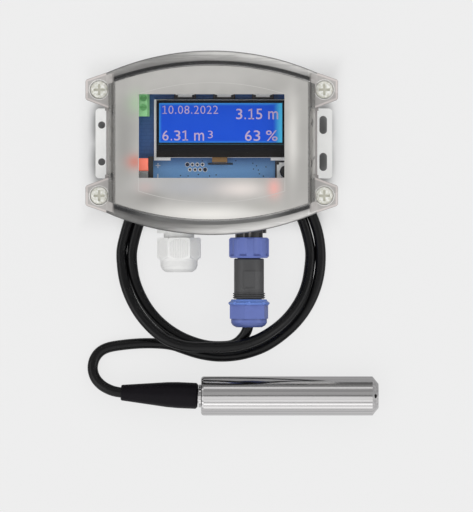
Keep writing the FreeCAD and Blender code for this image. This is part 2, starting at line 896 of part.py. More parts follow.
def bus_terminal():
    """The red and the grey bus plugs side by side on their black holder."""
    low = "bus_high + 2 * bus_pole + 2 * bus_gap"
    seat = f"{BOARD_TOP} + bus_seat"
    foot = block("bus_foot", ("-bus_left", f"-({low})", BOARD_TOP), ("-bus_right", "-bus_high", seat))
    wall = block("bus_back", ("-bus_right", f"-({low}) - 1", BOARD_TOP),
                 ("bus_wall - bus_right", "1 - bus_high", f"{seat} + bus_wall_rise"))
    node("bus_holder", fuse("bus_stand", foot, wall))
    for pole, name in enumerate(("bus_plug_red", "bus_plug_grey")):
        high = f"-bus_high - {pole} * (bus_pole + bus_gap)"
        shell = block(f"{name}_block", ("-bus_left", f"{high} - bus_pole", seat),
                      ("-bus_right - bus_gap", high, f"{seat} + bus_rise"))
        edged = rounded(f"{name}_edged", shell, "bus_gap * 6", flat_ends(f"{seat} + bus_rise"))
        mouths = []
        for row, y in (("near", f"{high} - bus_pole * 0.28"), ("far", f"{high} - bus_pole * 0.72")):
            for level, z in (("lower", f"{seat} + bus_rise * 0.3"), ("upper", f"{seat} + bus_rise * 0.7")):
                mouths.append(rod(f"{name}_{row}_{level}", "x", "bus_wire_dia", ("-bus_left - 1", y, z), "5"))
        node(name, cut(f"{name}_drilled", edged, *mouths))


KEYS = {
    "key_left": ("key_left_x", "key_row_y"),
    "key_middle": ("key_middle_x", "key_row_y"),
    "key_right": ("key_right_x", "key_row_y"),
    "program_key": ("program_key_x", "program_key_y"),
}


def keys():
    """Four push keys: black body with a well, steel cover plate and the plunger that travels in it."""
    half = "key_side / 2"
    plate_low = f"{BOARD_TOP} + key_body_height"
    collar_top = f"{plate_low} - key_gap"
    top = f"{plate_low} + key_plate + key_rise"
    bodies = []
    covers = []
    for name, (x, y) in KEYS.items():
        case = block(f"{name}_case", (f"{x} - {half}", f"{y} - {half}", BOARD_TOP),
                     (f"{x} + {half}", f"{y} + {half}", plate_low))
        well = rod(f"{name}_well", "z", "key_well_dia", (x, y, f"{plate_low} - key_well_depth"),
                   "key_well_depth + 1")
        bodies.append(cut(f"{name}_body", case, well))
        inset = f"{half} - 0.4"
        plate = block(f"{name}_plate", (f"{x} - ({inset})", f"{y} - ({inset})", plate_low),
                      (f"{x} + ({inset})", f"{y} + ({inset})", f"{plate_low} + key_plate"))
        hole = rod(f"{name}_hole", "z", "key_stem_dia + 2 * key_gap", (x, y, f"{plate_low} - 1"),
                   "key_plate + 2")
        covers.append(cut(f"{name}_cover", plate, hole))
        section = [
            (f"{collar_top} - key_collar", "0"),
            (f"{collar_top} - key_collar", "key_collar_dia"),
            (collar_top, "key_collar_dia"),
            (collar_top, "key_stem_dia"),
            (f"{top} - 0.5", "key_stem_dia"),
            (top, "key_stem_dia - 1"),
            (top, "0"),
        ]
        node(name, turned(f"{name}_stem", "z", section, (x, y, "0")))
    node("key_bodies", bundle("key_body_set", bodies))
    node("key_covers", bundle("key_cover_set", covers))


def program_lamp():
    """The round red lamp."""
    top = f"{BOARD_TOP} + lamp_height"
    section = [
        (BOARD_TOP, "0"),
        (BOARD_TOP, "lamp_flange_dia"),
        (f"{BOARD_TOP} + lamp_flange", "lamp_flange_dia"),
        (f"{BOARD_TOP} + lamp_flange", "lamp_dia"),
        (f"{top} - lamp_dia / 2", "lamp_dia"),
        (f"{top} - lamp_dia * 0.2", "lamp_dia * 0.8"),
        (top, "lamp_dia * 0.35"),
        (top, "0"),
    ]
    node("program_lamp", turned("lamp", "z", section, ("lamp_x", "lamp_y", "0")))


# Cable gland

GLAND_AXIS = ("gland_x", "0", "entry_height")
GLAND_SEAT = "-panel_face - gland_washer_thick"


def gland_body():
    """The gland's threaded body with its hexagon, its washer, and the lock nut inside the wall."""
    hex_end = f"{GLAND_SEAT} - gland_hex_length"
    section = [
        ("-gland_inner_end", "gland_bore_dia"),
        ("-gland_inner_end", "gland_thread_dia"),
        (hex_end, "gland_thread_dia"),
        (hex_end, "gland_neck_dia"),
        ("1.4 - gland_neck_end", "gland_neck_dia"),
        ("-gland_neck_end", "gland_pocket_dia + 1"),
        ("-gland_neck_end", "gland_pocket_dia"),
        ("-gland_pocket_start", "gland_pocket_dia"),
        ("-gland_pocket_start", "gland_bore_dia"),
    ]
    core = turned("gland_core", "y", section, GLAND_AXIS)
    flats = hexagon("gland_flats", "y", "gland_hex", ("gland_x", hex_end, "entry_height"), "gland_hex_length")
    bore = rod("gland_flats_bore", "y", "gland_thread_dia - 1", ("gland_x", f"{hex_end} - 1", "entry_height"),
               "gland_hex_length + 2")
    node("gland_body", fuse("gland_turned", core, cut("gland_collar", flats, bore)))
    washer = [
        ("-panel_face", "gland_hole_dia"),
        ("-panel_face", "gland_washer_dia"),
        (GLAND_SEAT, "gland_washer_dia"),
        (GLAND_SEAT, "gland_hole_dia"),
    ]
    node("gland_washer", turned("washer", "y", washer, GLAND_AXIS))
    inner = f"-({PANEL_INNER})"
    lock = hexagon("lock_flats", "y", "gland_lock_hex", ("gland_x", inner, "entry_height"),
                   "gland_lock_length")
    lock_bore = rod("lock_bore", "y", "gland_thread_dia + 0.1", ("gland_x", f"{inner} - 1", "entry_height"),
                    "gland_lock_length + 2")
    node("gland_lock_nut", cut("lock_nut", lock, lock_bore))


def gland_seal():
    """The rubber insert that grips the bus cable."""
    start = "-gland_pocket_start - seal_gap"
    end = f"{start} - gland_seal_length"
    section = [
        (start, "gland_seal_bore"),
        (start, "gland_seal_dia"),
        ("-gland_neck_end", "gland_seal_dia"),
        (end, "gland_seal_dia - 1.6"),
        (end, "gland_seal_bore"),
    ]
    node("gland_seal", turned("seal", "y", section, GLAND_AXIS))


def gland_nut():
    """The dome nut: chamfered hexagon, rounded dome and the mouth for the cable."""
    start = "-gland_nut_start"
    hex_end = "-gland_nut_start - gland_nut_hex_length"
    end = "-gland_nut_start - gland_nut_length"
    corner = "gland_nut_hex / cos(30 deg)"
    bore = "gland_neck_dia + 2 * thread_gap"
    hex_low = ("gland_x", hex_end, "entry_height")
    flats = hexagon("nut_flats", "y", "gland_nut_hex", hex_low, "gland_nut_hex_length")
    limit_section = [
        (start, "0"),
        (start, f"{corner} - 2 * nut_chamfer"),
        (f"{start} - nut_chamfer", corner),
        (f"{hex_end} + 2 * nut_chamfer", corner),
        (hex_end, "gland_dome_dia"),
        (hex_end, "0"),
    ]
    limit = turned("nut_limit", "y", limit_section, GLAND_AXIS)
    dome_section = [
        (f"{hex_end} + 1", "gland_mouth_dia"),
        (f"{hex_end} + 1", "gland_dome_dia"),
        (f"{end} + 3.4", "gland_dome_dia"),
        (f"{end} + 1.6", "gland_dome_dia - 1.6"),
        (f"{end} + 0.4", "gland_dome_dia - 4.6"),
        (end, "gland_dome_dia - 6.4"),
        (end, "gland_mouth_dia"),
    ]
    dome = turned("nut_dome", "y", dome_section, GLAND_AXIS)
    hollow_section = [
        (f"{start} + 1", "0"),
        (f"{start} + 1", bore),
        ("-gland_neck_end - 1", bore),
        (f"{end} + 2", "gland_mouth_dia"),
        (f"{end} + 2", "0"),
    ]
    hollow = turned("nut_hollow", "y", hollow_section, GLAND_AXIS)
    shell = fuse("nut_shell", common("nut_hex", flats, limit), dome)
    node("gland_nut", cut("nut", shell, hollow))


# Sensor connector

PLUG_AXIS = ("plug_x", "0", "entry_height")


def pin_points():
    """The four contacts' places about the connector's axis."""
    spots = []
    for x in ("plug_x - pin_circle", "plug_x + pin_circle"):
        for z in ("entry_height - pin_circle", "entry_height + pin_circle"):
            spots.append((x, z))
    return spots


def pin_holes(name, spare, start, end):
    """Holes for the four contacts between two places along the axis."""
    holes = []
    for number, (x, z) in enumerate(pin_points()):
        holes.append(rod(f"{name}_{number}", "y", f"pin_dia + 2 * {spare}", (x, f"-({end})", z),
                         f"({end}) - ({start})"))
    return holes


def panel_socket():
    """The socket in the wall, with its gasket, inner nut, contacts and the wires up to the board."""
    seat = "-panel_face - socket_gasket_thick"
    section = [
        ("-socket_inner_end", "0"),
        ("-socket_inner_end", "socket_rear_dia"),
        (seat, "socket_rear_dia"),
        (seat, "socket_flange_dia"),
        (f"{seat} - socket_flange", "socket_flange_dia"),
        (f"{seat} - socket_flange", "socket_thread_dia"),
        ("-socket_end", "socket_thread_dia"),
        ("-socket_end", "socket_cavity_dia"),
        ("-socket_cavity_start", "socket_cavity_dia"),
        ("-socket_cavity_start", "0"),
    ]
    body = turned("socket_body", "y", section, PLUG_AXIS)
    holes = pin_holes("socket_pin_hole", "pin_gap", "socket_inner_end - 1", "socket_cavity_start + 1")
    node("panel_socket", cut("socket", body, *holes))
    node("contact_pins", bundle("pins", pin_holes("pin", "0", "pin_tail", "pin_end")))
    ring = [
        ("-panel_face", "socket_hole_dia"),
        ("-panel_face", "socket_flange_dia"),
        (seat, "socket_flange_dia"),
        (seat, "socket_hole_dia"),
    ]
    node("socket_gasket", turned("socket_ring", "y", ring, PLUG_AXIS))
    inner = ("plug_x", f"-({PANEL_INNER})", "entry_height")
    flats = hexagon("socket_nut_flats", "y", "socket_nut_hex", inner, "socket_nut_length")
    bore = rod("socket_nut_bore", "y", "socket_rear_dia + 0.1",
               ("plug_x", f"-({PANEL_INNER}) - 1", "entry_height"), "socket_nut_length + 2")
    node("socket_nut", cut("socket_nut_cut", flats, bore))


def coupling_ring():
    """The blue ring that screws the plug to the socket, with finger grips round it."""
    section = [
        ("-ring_start", "socket_thread_dia + 2 * thread_gap"),
        ("-ring_start", "ring_dia - 2 * ring_chamfer"),
        ("-ring_start - ring_chamfer", "ring_dia"),
        ("ring_chamfer - ring_end", "ring_dia"),
        ("-ring_end", "ring_dia - 2 * ring_chamfer"),
        ("-ring_end", "plug_neck_dia + 2 * thread_gap"),
        ("-ring_step", "plug_neck_dia + 2 * thread_gap"),
        ("-ring_step", "socket_thread_dia + 2 * thread_gap"),
    ]
    body = turned("ring_body", "y", section, PLUG_AXIS)
    grips = []
    for number in range(int(value("ring_grip_count"))):
        turn = f"{number} * 360 deg / ring_grip_count + ring_grip_turn * 1 deg"
        for name, dia, depth, length in (
            ("grip", "ring_grip_dia", "ring_grip_depth", "ring_end - ring_rim - ring_start + 1"),
            ("pocket", "ring_pocket_dia", "ring_pocket_depth", "ring_pocket_length"),
        ):
            reach = f"(ring_dia / 2 + {dia} / 2 - {depth})"
            at = (f"plug_x + {reach} * cos({turn})", "ring_rim - ring_end",
                  f"entry_height + {reach} * sin({turn})")
            grips.append(rod(f"ring_{name}_{number}", "y", dia, at, length))
    node("coupling_ring", cut("ring", body, *grips))


def plug_body():
    """The dark plug: nose in the socket, ridged grip, a flat on its face and the rear thread."""
    shoulder = "ring_end + thread_gap"
    flange_end = "ring_step - thread_gap"
    section = [
        ("-plug_nose_start", "0"),
        ("-plug_nose_start", "plug_nose_dia"),
        (f"plug_flange - ({flange_end})", "plug_nose_dia"),
        (f"plug_flange - ({flange_end})", "socket_thread_dia"),
        (f"-({flange_end})", "socket_thread_dia"),
        (f"-({flange_end})", "plug_neck_dia"),
        (f"-({shoulder})", "plug_neck_dia"),
        (f"-({shoulder})", "plug_dia - 1"),
        (f"-({shoulder}) - 0.5", "plug_dia"),
        ("-plug_end", "plug_dia"),
        ("-plug_end", "plug_thread_dia"),
        ("-plug_thread_end", "plug_thread_dia"),
        ("-plug_thread_end", "plug_pocket_dia"),
        ("-plug_pocket_start", "plug_pocket_dia"),
        ("-plug_pocket_start", "plug_bore_dia"),
        ("-plug_bore_start", "plug_bore_dia"),
        ("-plug_bore_start", "0"),
    ]
    core = turned("plug_core", "y", section, PLUG_AXIS)
    pitch = "(plug_end - plug_ridge_start) / plug_ridge_count"
    ridges = []
    for number in range(int(value("plug_ridge_count"))):
        low = f"-plug_ridge_start - {number} * {pitch}"
        ridge = [
            (low, "plug_dia - 1"),
            (low, "plug_dia"),
            (f"{low} - plug_ridge * 0.3", "plug_ridge_dia"),
            (f"{low} - plug_ridge * 0.7", "plug_ridge_dia"),
            (f"{low} - plug_ridge", "plug_dia"),
            (f"{low} - plug_ridge", "plug_dia - 1"),
        ]
        ridges.append(turned(f"plug_ridge_{number}", "y", ridge, PLUG_AXIS))
    flat_level = "entry_height + plug_dia / 2 - plug_panel_depth"
    flat = block("plug_flat", ("plug_x - plug_dia / 2", "-plug_panel_end", flat_level),
                 ("plug_x + plug_dia / 2", "-plug_panel_start", f"{flat_level} + plug_dia"))
    holes = pin_holes("plug_pin_hole", "(3 * pin_gap)", "plug_nose_start - 1", "pin_end + 1")
    node("plug_body", cut("plug", fuse("plug_solid", core, *ridges), flat, *holes))
    start = "-plug_pocket_start - seal_gap"
    end = "-plug_thread_end - plug_seal_stand"
    bush = [
        (start, "cable_dia + 2 * seal_gap"),
        (start, "plug_pocket_dia - 2 * seal_gap"),
        ("-plug_thread_end", "plug_pocket_dia - 2 * seal_gap"),
        (end, "plug_pocket_dia - 2.2"),
        (end, "cable_dia + 2 * seal_gap"),
    ]
    node("plug_seal", turned("bush", "y", bush, PLUG_AXIS))


def plug_clamp_nut():
    """The blue nut that clamps the cable: notched double-cone flange, faceted grip and rounded cap."""
    start = "-plug_end - clamp_gap"
    flange_end = f"{start} - clamp_flange"
    hollow_dia = "plug_thread_dia + 2 * thread_gap"
    section = [
        (start, hollow_dia),
        (start, "clamp_collar_dia - 0.8"),
        (f"{start} - 0.4", "clamp_collar_dia"),
        (f"{start} - clamp_collar", "clamp_collar_dia"),
        (f"{start} - clamp_crest + clamp_crest_land / 2", "clamp_flange_dia"),
        (f"{start} - clamp_crest - clamp_crest_land / 2", "clamp_flange_dia"),
        (flange_end, "clamp_flange_dia - 1.8"),
        (flange_end, "clamp_cap_dia - 1"),
        ("-clamp_facet_end", "clamp_cap_dia - 1"),
        ("-clamp_facet_end", "clamp_cap_dia"),
        ("2.4 - clamp_end", "clamp_cap_dia"),
        ("1 - clamp_end", "clamp_cap_dia - 2"),
        ("-clamp_end", "clamp_cap_dia - 5.6"),
        ("-clamp_end", "clamp_mouth_dia"),
        ("3 - clamp_end", "clamp_mouth_dia"),
        ("-plug_thread_end - clamp_gap", hollow_dia),
    ]
    core = turned("clamp_core", "y", section, PLUG_AXIS)
    grip_low = ("plug_x", "-clamp_facet_end", "entry_height")
    grip = many_sided("clamp_facets", "y", "clamp_facet_count", "clamp_facet_dia", grip_low,
                      f"clamp_facet_end + ({flange_end})", "clamp_facet_turn")
    inside = rod("clamp_inside", "y", "clamp_cap_dia - 1.5",
                 ("plug_x", "-clamp_facet_end - 1", "entry_height"),
                 f"clamp_facet_end + ({flange_end}) + 2")
    notches = []
    for number in range(int(value("clamp_notch_count"))):
        turn = f"{number} * 360 deg / clamp_notch_count"
        reach = "(clamp_flange_dia / 2 + clamp_notch_dia / 5)"
        at = (f"plug_x + {reach} * cos({turn})", flange_end, f"entry_height + {reach} * sin({turn})")
        notch_depth = "clamp_flange - clamp_collar"
        notches.append(rod(f"clamp_notch_{number}", "y", "clamp_notch_dia", at, notch_depth))
    shell = fuse("clamp_shell", core, cut("clamp_grip", grip, inside))
    node("plug_clamp_nut", cut("clamp", shell, *notches))


# Probe

PROBE_AXIS = ("0", "probe_y", PROBE_LEVEL)


def probe_tube():
    """The steel tube, its shoulder rounded off in two steps."""
    inner = "probe_dia - 2 * probe_wall"
    section = [
        ("probe_start", inner),
        ("probe_start", "probe_dia - 2 * probe_shoulder"),
        ("probe_start + probe_shoulder * 0.3", "probe_dia - probe_shoulder * 0.6"),
        ("probe_start + probe_shoulder", "probe_dia"),
        ("probe_seam", "probe_dia"),
        ("probe_seam", inner),
    ]
    node("probe_tube", turned("tube", "x", section, PROBE_AXIS))


def probe_cap():
    """The cap in the tube's rear end, with its neck and the stub inside the boot."""
    fit = "probe_dia - 2 * probe_wall - 2 * probe_fit"
    bore = "cable_dia + 2 * seal_gap"
    neck_start = "probe_start - neck_length"
    section = [
        (f"{neck_start} - stub_length", bore),
        (f"{neck_start} - stub_length", "stub_dia"),
        (neck_start, "stub_dia"),
        (neck_start, "neck_dia"),
        ("probe_start", "neck_dia"),
        ("probe_start", fit),
        ("probe_start + cap_depth", fit),
        ("probe_start + cap_depth", bore),
    ]
    node("probe_cap", turned("rear_cap", "x", section, PROBE_AXIS))


def probe_nose():
    """The nose with its chamfer, the chamber before the cell and the inlets into it."""
    fit = "probe_dia - 2 * probe_wall - 2 * probe_fit"
    bore = f"{fit} - 2 * nose_spigot_wall"
    section = [
        ("probe_seam - nose_spigot", bore),
        ("probe_seam - nose_spigot", fit),
        ("probe_seam", fit),
        ("probe_seam", "probe_dia"),
        ("nose_start", "probe_dia"),
        ("probe_end", "nose_tip_dia"),
        ("probe_end", "0"),
        ("nose_chamber_end", "0"),
        ("nose_chamber_end", "nose_chamber_dia"),
        ("nose_seat", "nose_chamber_dia"),
        ("nose_seat", bore),
    ]
    body = turned("nose_body", "x", section, PROBE_AXIS)
    run = value("probe_end - nose_start")
    fall = value("probe_dia - nose_tip_dia") / 2
    lean = math.degrees(math.atan2(fall, run))
    inlets = []
    for number in range(int(value("inlet_count"))):
        drill = doc.addObject("Part::Cylinder", f"inlet_{number}")
        bind(drill, "Radius", "inlet_dia / 2")
        bind(drill, "Height", "inlet_length")
        spin = FreeCAD.Rotation(FreeCAD.Vector(1, 0, 0), number * 360 / value("inlet_count"))
        tip = FreeCAD.Rotation(FreeCAD.Vector(0, 1, 0), lean)
        turn = spin.multiply(tip)
        middle = spin.multVec(FreeCAD.Vector(0, 0, value("probe_dia / 2 + nose_tip_dia / 2") / 2))
        middle.x = value("nose_start + probe_end") / 2
        sink = turn.multVec(FreeCAD.Vector(0, 0, -value("inlet_length") / 2))
        drill.Placement = FreeCAD.Placement(middle + sink, turn)
        lift = FreeCAD.Vector(0, value("probe_y"), value(PROBE_LEVEL))
        drill.Placement.Base = middle + sink + lift
        inlets.append(drill)
    node("probe_nose", cut("nose", body, *inlets))
    seal_low = "nose_seat - cell_seal_thick"
    cell_low = f"{seal_low} - cell_thick"
    cell_dia = f"{bore} - 2 * probe_fit"
    cell = [(cell_low, "0"), (cell_low, cell_dia), (seal_low, cell_dia), (seal_low, "0")]
    node("pressure_cell", turned("cell", "x", cell, PROBE_AXIS))
    ring = [
        (seal_low, f"{cell_dia} - 2 * cell_seal_width"),
        (seal_low, cell_dia),
        ("nose_seat", cell_dia),
        ("nose_seat", f"{cell_dia} - 2 * cell_seal_width"),
    ]
    node("cell_seal", turned("cell_ring", "x", ring, PROBE_AXIS))
    half = "probe_board_thick / 2"
    node("probe_board", block(
        "probe_board_plate",
        ("probe_board_start", "probe_y - probe_board_half", f"{PROBE_LEVEL} - {half}"),
        (cell_low, "probe_y + probe_board_half", f"{PROBE_LEVEL} + {half}"),
    ))


def cable_boot():
    """The rubber bend boot, tapered towards the cable."""
    bore = "cable_dia + 2 * boot_gap"
    socket_start = "probe_start - neck_length - stub_length - boot_stub_gap"
    end = "probe_start - neck_length - boot_seat_gap"
    section = [
        ("boot_start", bore),
        ("boot_start", "boot_small_dia - boot_round"),
        ("boot_start + boot_round / 2", "boot_small_dia"),
        ("boot_shoulder", "boot_dia - 0.6"),
        ("boot_shoulder + 6", "boot_dia"),
        (f"{end} - boot_round", "boot_dia"),
        (end, "boot_dia - 2 * boot_round"),
        (end, "stub_dia + 2 * boot_stub_gap"),
        (socket_start, "stub_dia + 2 * boot_stub_gap"),
        (socket_start, bore),
    ]
    body = turned("boot", "x", section, PROBE_AXIS)
    body.Placement.Rotation = FreeCAD.Rotation(FreeCAD.Vector(0, 0, 1), -value("boot_lean"))
    bind(body, "Placement.Base.y", f"probe_y + ({end}) * tan(boot_lean * 1 deg)")
    node("cable_boot", body)


# Cable

# The cable's free stretches. Points on the ring are an angle in degrees, clockwise from the foot of the ring
# as seen from above, a distance from the ring's middle, and a height. Other points are X, Y and a height.
# Heights are of the cable's middle above the housing's back.
LEAD_START = [
    (20.5, -95.9, 14.0),
    (20.5, -101.9, 13.9),
    (18.1, -107.0, 12.8),
    (13.7, -110.7, 11.0),
    (8.2, -112.2, 9.2),
]
LEAD_RING = [
    (12, 50.2, 6.2),
    (32, 50.1, 2.0),
    (52, 50.1, -1.5),
    (72, 50.1, -3.0),
    (88, 49.9, -3.1),
    (98, 49.3, -3.1),
]
OVER_RING = [
    (262, 49.3, -3.1),
    (272, 50.0, -3.1),
    (292, 50.1, -0.2),
    (312, 50.1, 6.8),
    (331, 50.0, 15.0),
    (346, 49.8, 19.4),
    (361, 50.2, 18.8),
    (378, 51.6, 14.5),
    (396, 54.5, 9.4),
    (415, 56.2, 4.0),
    (434, 56.2, -0.6),
    (450, 56.0, -3.1),
    (458, 55.3, -3.1),
]
TAIL_RING = [(377, 55.3, -3.1), (387, 56.2, -3.1)]
TAIL_END = [
    (-29.4, -110.6, -3.1),
    (-38.9, -111.4, -3.1),
    (-47.9, -113.0, -3.1),
    (-56.7, -115.3, -3.1),
    (-61.2, -117.0, -3.1),
    (-64.4, -120.6, -2.7),
    (-65.8, -125.2, -1.7),
    (-65.1, -129.9, -0.2),
    (-62.3, -133.8, 1.6),
    (-58.4, -136.2, 3.5),
    (-53.8, -137.5, 4.8),
    (-48.6, -137.73, 4.8),
]
# Where the ring's two turns lie flat side by side, and where the outer one lies alone, in the same angles.
BOTH_TURNS = (98, 262)
OUTER_ALONE = (262, 377)


def on_ring(angle, reach, height):
    """A point of the ring."""
    turn = math.radians(angle)
    return FreeCAD.Vector(
        value("coil_x") - reach * math.sin(turn),
        value("coil_y") - reach * math.cos(turn),
        height,
    )


def routed(name, points, dia):
    """A tube along straight runs, joined by arcs as large as the runs allow."""
    edges = []
    here = points[0]
    length = 0.0
    radii = []
    for before, corner, after in zip(points, points[1:], points[2:]):
        back = before - corner
        ahead = after - corner
        bend = math.pi - back.getAngle(ahead)
        reach = 0.45 * min(back.Length, ahead.Length)
        radius = reach / math.tan(bend / 2)
        start = corner + back.normalize() * reach
        end = corner + ahead.normalize() * reach
        middle = (start + end) * 0.5
        inward = (middle - corner).normalize()
        top = corner + inward * (radius / math.cos(bend / 2) - radius)
        edges.append(Part.LineSegment(here, start).toShape())
        arc = Part.Arc(start, top, end).toShape()
        length += edges[-1].Length + arc.Length
        edges.append(arc)
        radii.append(radius)
        here = end
    edges.append(Part.LineSegment(here, points[-1]).toShape())
    length += edges[-1].Length
    path = Part.Wire(edges)
    circle = Part.Circle(points[0], points[1] - points[0], dia / 2).toShape()
    shape = path.makePipe(Part.Face(Part.Wire([circle])))
    section = math.pi * dia * dia / 4
    print(f"{name}: {length:.1f} mm, tightest arc {min(radii):.1f} mm, "
          f"volume {shape.Volume:.1f} against {section * length:.1f}")
    tube = doc.addObject("Part::Feature", name)
    tube.Shape = shape
    return tube


def ring_sector(section, angles):
    """A flat section swept round the ring's middle between two clockwise angles."""
    first, last = angles
    middle = FreeCAD.Vector(value("coil_x"), value("coil_y"), 0)
    face = section.copy()
    face.rotate(middle, FreeCAD.Vector(0, 0, 1), 270 - last)
    return face.revolve(middle, FreeCAD.Vector(0, 0, 1), last - first)


def cable():
    """The cable: from the plug over to the ring, twice round it, and out to the probe's boot."""
    dia = value("cable_dia")
    level = value(CABLE_LEVEL)
    inner = value("coil_x + coil_inner_track")
    outer = inner + value("coil_track_pitch")
    y = value("coil_y")
    across = FreeCAD.Vector(0, -1, 0)
    lift = FreeCAD.Vector(0, 0, dia / 2)
    side = FreeCAD.Vector(dia / 2, 0, 0)
    near = FreeCAD.Vector(inner, y, level)
    far = FreeCAD.Vector(outer, y, level)
    wide = Part.Wire([
        Part.LineSegment(near + lift, far + lift).toShape(),
        Part.Arc(far + lift, far + side, far - lift).toShape(),
        Part.LineSegment(far - lift, near - lift).toShape(),
        Part.Arc(near - lift, near - side, near + lift).toShape(),
    ])
    single = Part.Wire([Part.Circle(far, across, dia / 2).toShape()])
    flat = ring_sector(Part.Face(wide), BOTH_TURNS)
    alone = ring_sector(Part.Face(single), OUTER_ALONE)
    coil = doc.addObject("Part::Feature", "coil")
    coil.Shape = flat.fuse(alone).removeSplitter()
    node("cable_coil", coil)
    lead = [FreeCAD.Vector(*point) for point in LEAD_START] + [on_ring(*point) for point in LEAD_RING]
    over = [on_ring(*point) for point in OVER_RING]
    tail = [on_ring(*point) for point in TAIL_RING] + [FreeCAD.Vector(*point) for point in TAIL_END]
    node("cable_lead", routed("lead", lead, dia))
    node("cable_over", routed("over", over, dia))
    node("cable_tail", routed("tail", tail, dia))


def socket_wires():
    """Four short wires from the contacts' tails up to the board."""
    dia = value("wire_dia")
    tail = -value("pin_tail")
    under = value("board_level")
    wires = []
    for number, (x_text, z_text) in enumerate(pin_points()):
        x = value(x_text)
        z = value(z_text)
        depth = value("wire_upper_reach" if z > value("entry_height") else "wire_lower_reach")
        points = [
            FreeCAD.Vector(x, tail, z),
            FreeCAD.Vector(x, tail + depth * value("wire_straight"), z),
            FreeCAD.Vector(x, tail + depth, z + value("wire_rise")),
            FreeCAD.Vector(x, tail + depth, under),
        ]
        wires.append(routed(f"wire_{number}", points, dia))
    node("socket_wires", bundle("wire_set", wires))


def build():
    """Builds every sub-assembly."""
    fill_sheet()
    housing_base()
    lid()
    lid_screws()
    front_film()
    main_board()
    display()
    supply_terminal()
    bus_terminal()
    keys()
    program_lamp()
    gland_body()
    gland_seal()
    gland_nut()
    panel_socket()
    coupling_ring()
    plug_body()
    plug_clamp_nut()
    probe_tube()
    probe_cap()
    probe_nose()
    cable_boot()
    cable()
    socket_wires()
    doc.recompute()


def check():
    """Stops if any object failed or any node isn't a sound solid."""
    for obj in doc.Objects:
        if "Invalid" in obj.State or "Error" in obj.State:
            raise RuntimeError(f"{obj.Label} failed: {obj.State}")
    for label, piece in NODES.items():
        if piece.Shape.isNull() or not piece.Shape.isValid() or not piece.Shape.Solids:
            raise RuntimeError(f"{label} isn't a sound solid")


def export():
    """Writes one file per node."""
    os.makedirs("parts", exist_ok=True)
    for label, piece in NODES.items():
        piece.Shape.exportStep(f"parts/{label}.step")
        box = piece.Shape.BoundBox
        print(f"{label}: {len(piece.Shape.Solids)} solids, {piece.Shape.Volume:.0f} mm3, "
              f"{box.XLength:.1f} x {box.YLength:.1f} x {box.ZLength:.1f}")


build()
check()
export()
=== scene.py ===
import contextlib
import math

import bmesh
import bpy
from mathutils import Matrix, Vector


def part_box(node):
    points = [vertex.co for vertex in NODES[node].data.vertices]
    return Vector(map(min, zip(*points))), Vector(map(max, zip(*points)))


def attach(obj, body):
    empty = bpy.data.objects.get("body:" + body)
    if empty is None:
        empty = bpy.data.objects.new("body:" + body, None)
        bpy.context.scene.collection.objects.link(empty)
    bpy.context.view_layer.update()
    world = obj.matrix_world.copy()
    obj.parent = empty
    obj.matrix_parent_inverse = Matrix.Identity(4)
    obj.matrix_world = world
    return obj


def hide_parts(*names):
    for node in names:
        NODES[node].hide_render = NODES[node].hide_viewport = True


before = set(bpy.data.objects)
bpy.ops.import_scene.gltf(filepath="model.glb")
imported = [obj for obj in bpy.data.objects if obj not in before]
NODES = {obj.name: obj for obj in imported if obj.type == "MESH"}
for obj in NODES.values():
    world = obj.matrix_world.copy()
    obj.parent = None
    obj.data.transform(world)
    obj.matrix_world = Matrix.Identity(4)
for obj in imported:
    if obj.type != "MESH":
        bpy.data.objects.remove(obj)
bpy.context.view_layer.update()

bl_info = {
    "name": "Level sensor dressing",
    "version": (1, 0, 0),
    "blender": (4, 5, 0),
    "location": "View3D > Sidebar > Level sensor",
    "description": "Dresses a hydrostatic level sensor: cable, display, board, prints, finishes and stage",
    "category": "Object",
}

MM = 0.001

# The middle of the housing's back in the frame, read from the lid and the base.
LID_LOW, LID_HIGH = (Vector(corner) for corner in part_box("lid"))
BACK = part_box("housing_base")[0][2]
HOUSING = Vector(((LID_LOW.x + LID_HIGH.x) / 2, (LID_LOW.y + LID_HIGH.y) / 2, BACK))


def spot(x, y, z):
    """A place given in millimetres from the middle of the housing's back."""
    return HOUSING + Vector((x, y, z)) * MM


def top_of(node):
    """The highest level of a CAD node, in millimetres above the housing's back."""
    return (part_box(node)[1][2] - HOUSING.z) / MM


# The cable's route: points of the ring are an angle clockwise from its foot, a distance from its middle
# and a height, the others are X, Y and a height. Where the cable rests on the floor, its axis is at
# CABLE_LEVEL.
CABLE_LEVEL = -3.1
RING_MIDDLE = (5.3, -62.7)
LEAD_START = [
    (20.5, -95.9, 14.0),
    (20.4, -100.9, 13.9),
    (17.9, -106.4, 12.8),
    (13.6, -110.5, 11.0),
    (8.2, -112.2, 9.2),
]
LEAD_RING = [
    (12, 50.2, 6.2),
    (32, 50.2, 2.0),
    (52, 50.3, -1.5),
    (72, 50.2, -3.0),
    (88, 49.9, CABLE_LEVEL),
    (98, 49.6, CABLE_LEVEL),
]
OVER_RING = [
    (262, 49.4, CABLE_LEVEL),
    (272, 49.4, CABLE_LEVEL),
    (292, 50.3, -0.2),
    (312, 50.3, 6.8),
    (331, 50.0, 15.0),
    (346, 49.9, 19.4),
    (358, 49.8, 19.0),
    (369, 50.3, 17.0),
    (380, 53.0, 14.0),
    (392, 55.3, 10.6),
    (404, 55.6, 7.2),
    (418, 55.75, 3.2),
    (434, 55.85, -0.6),
    (450, 55.6, CABLE_LEVEL),
    (458, 55.3, CABLE_LEVEL),
]
TAIL_RING = [
    (690, 55.8, CABLE_LEVEL),
    (706, 55.6, CABLE_LEVEL),
    (720, 55.5, CABLE_LEVEL),
    (732, 55.2, CABLE_LEVEL),
    (742, 55.0, CABLE_LEVEL),
    (749, 55.6, CABLE_LEVEL),
]
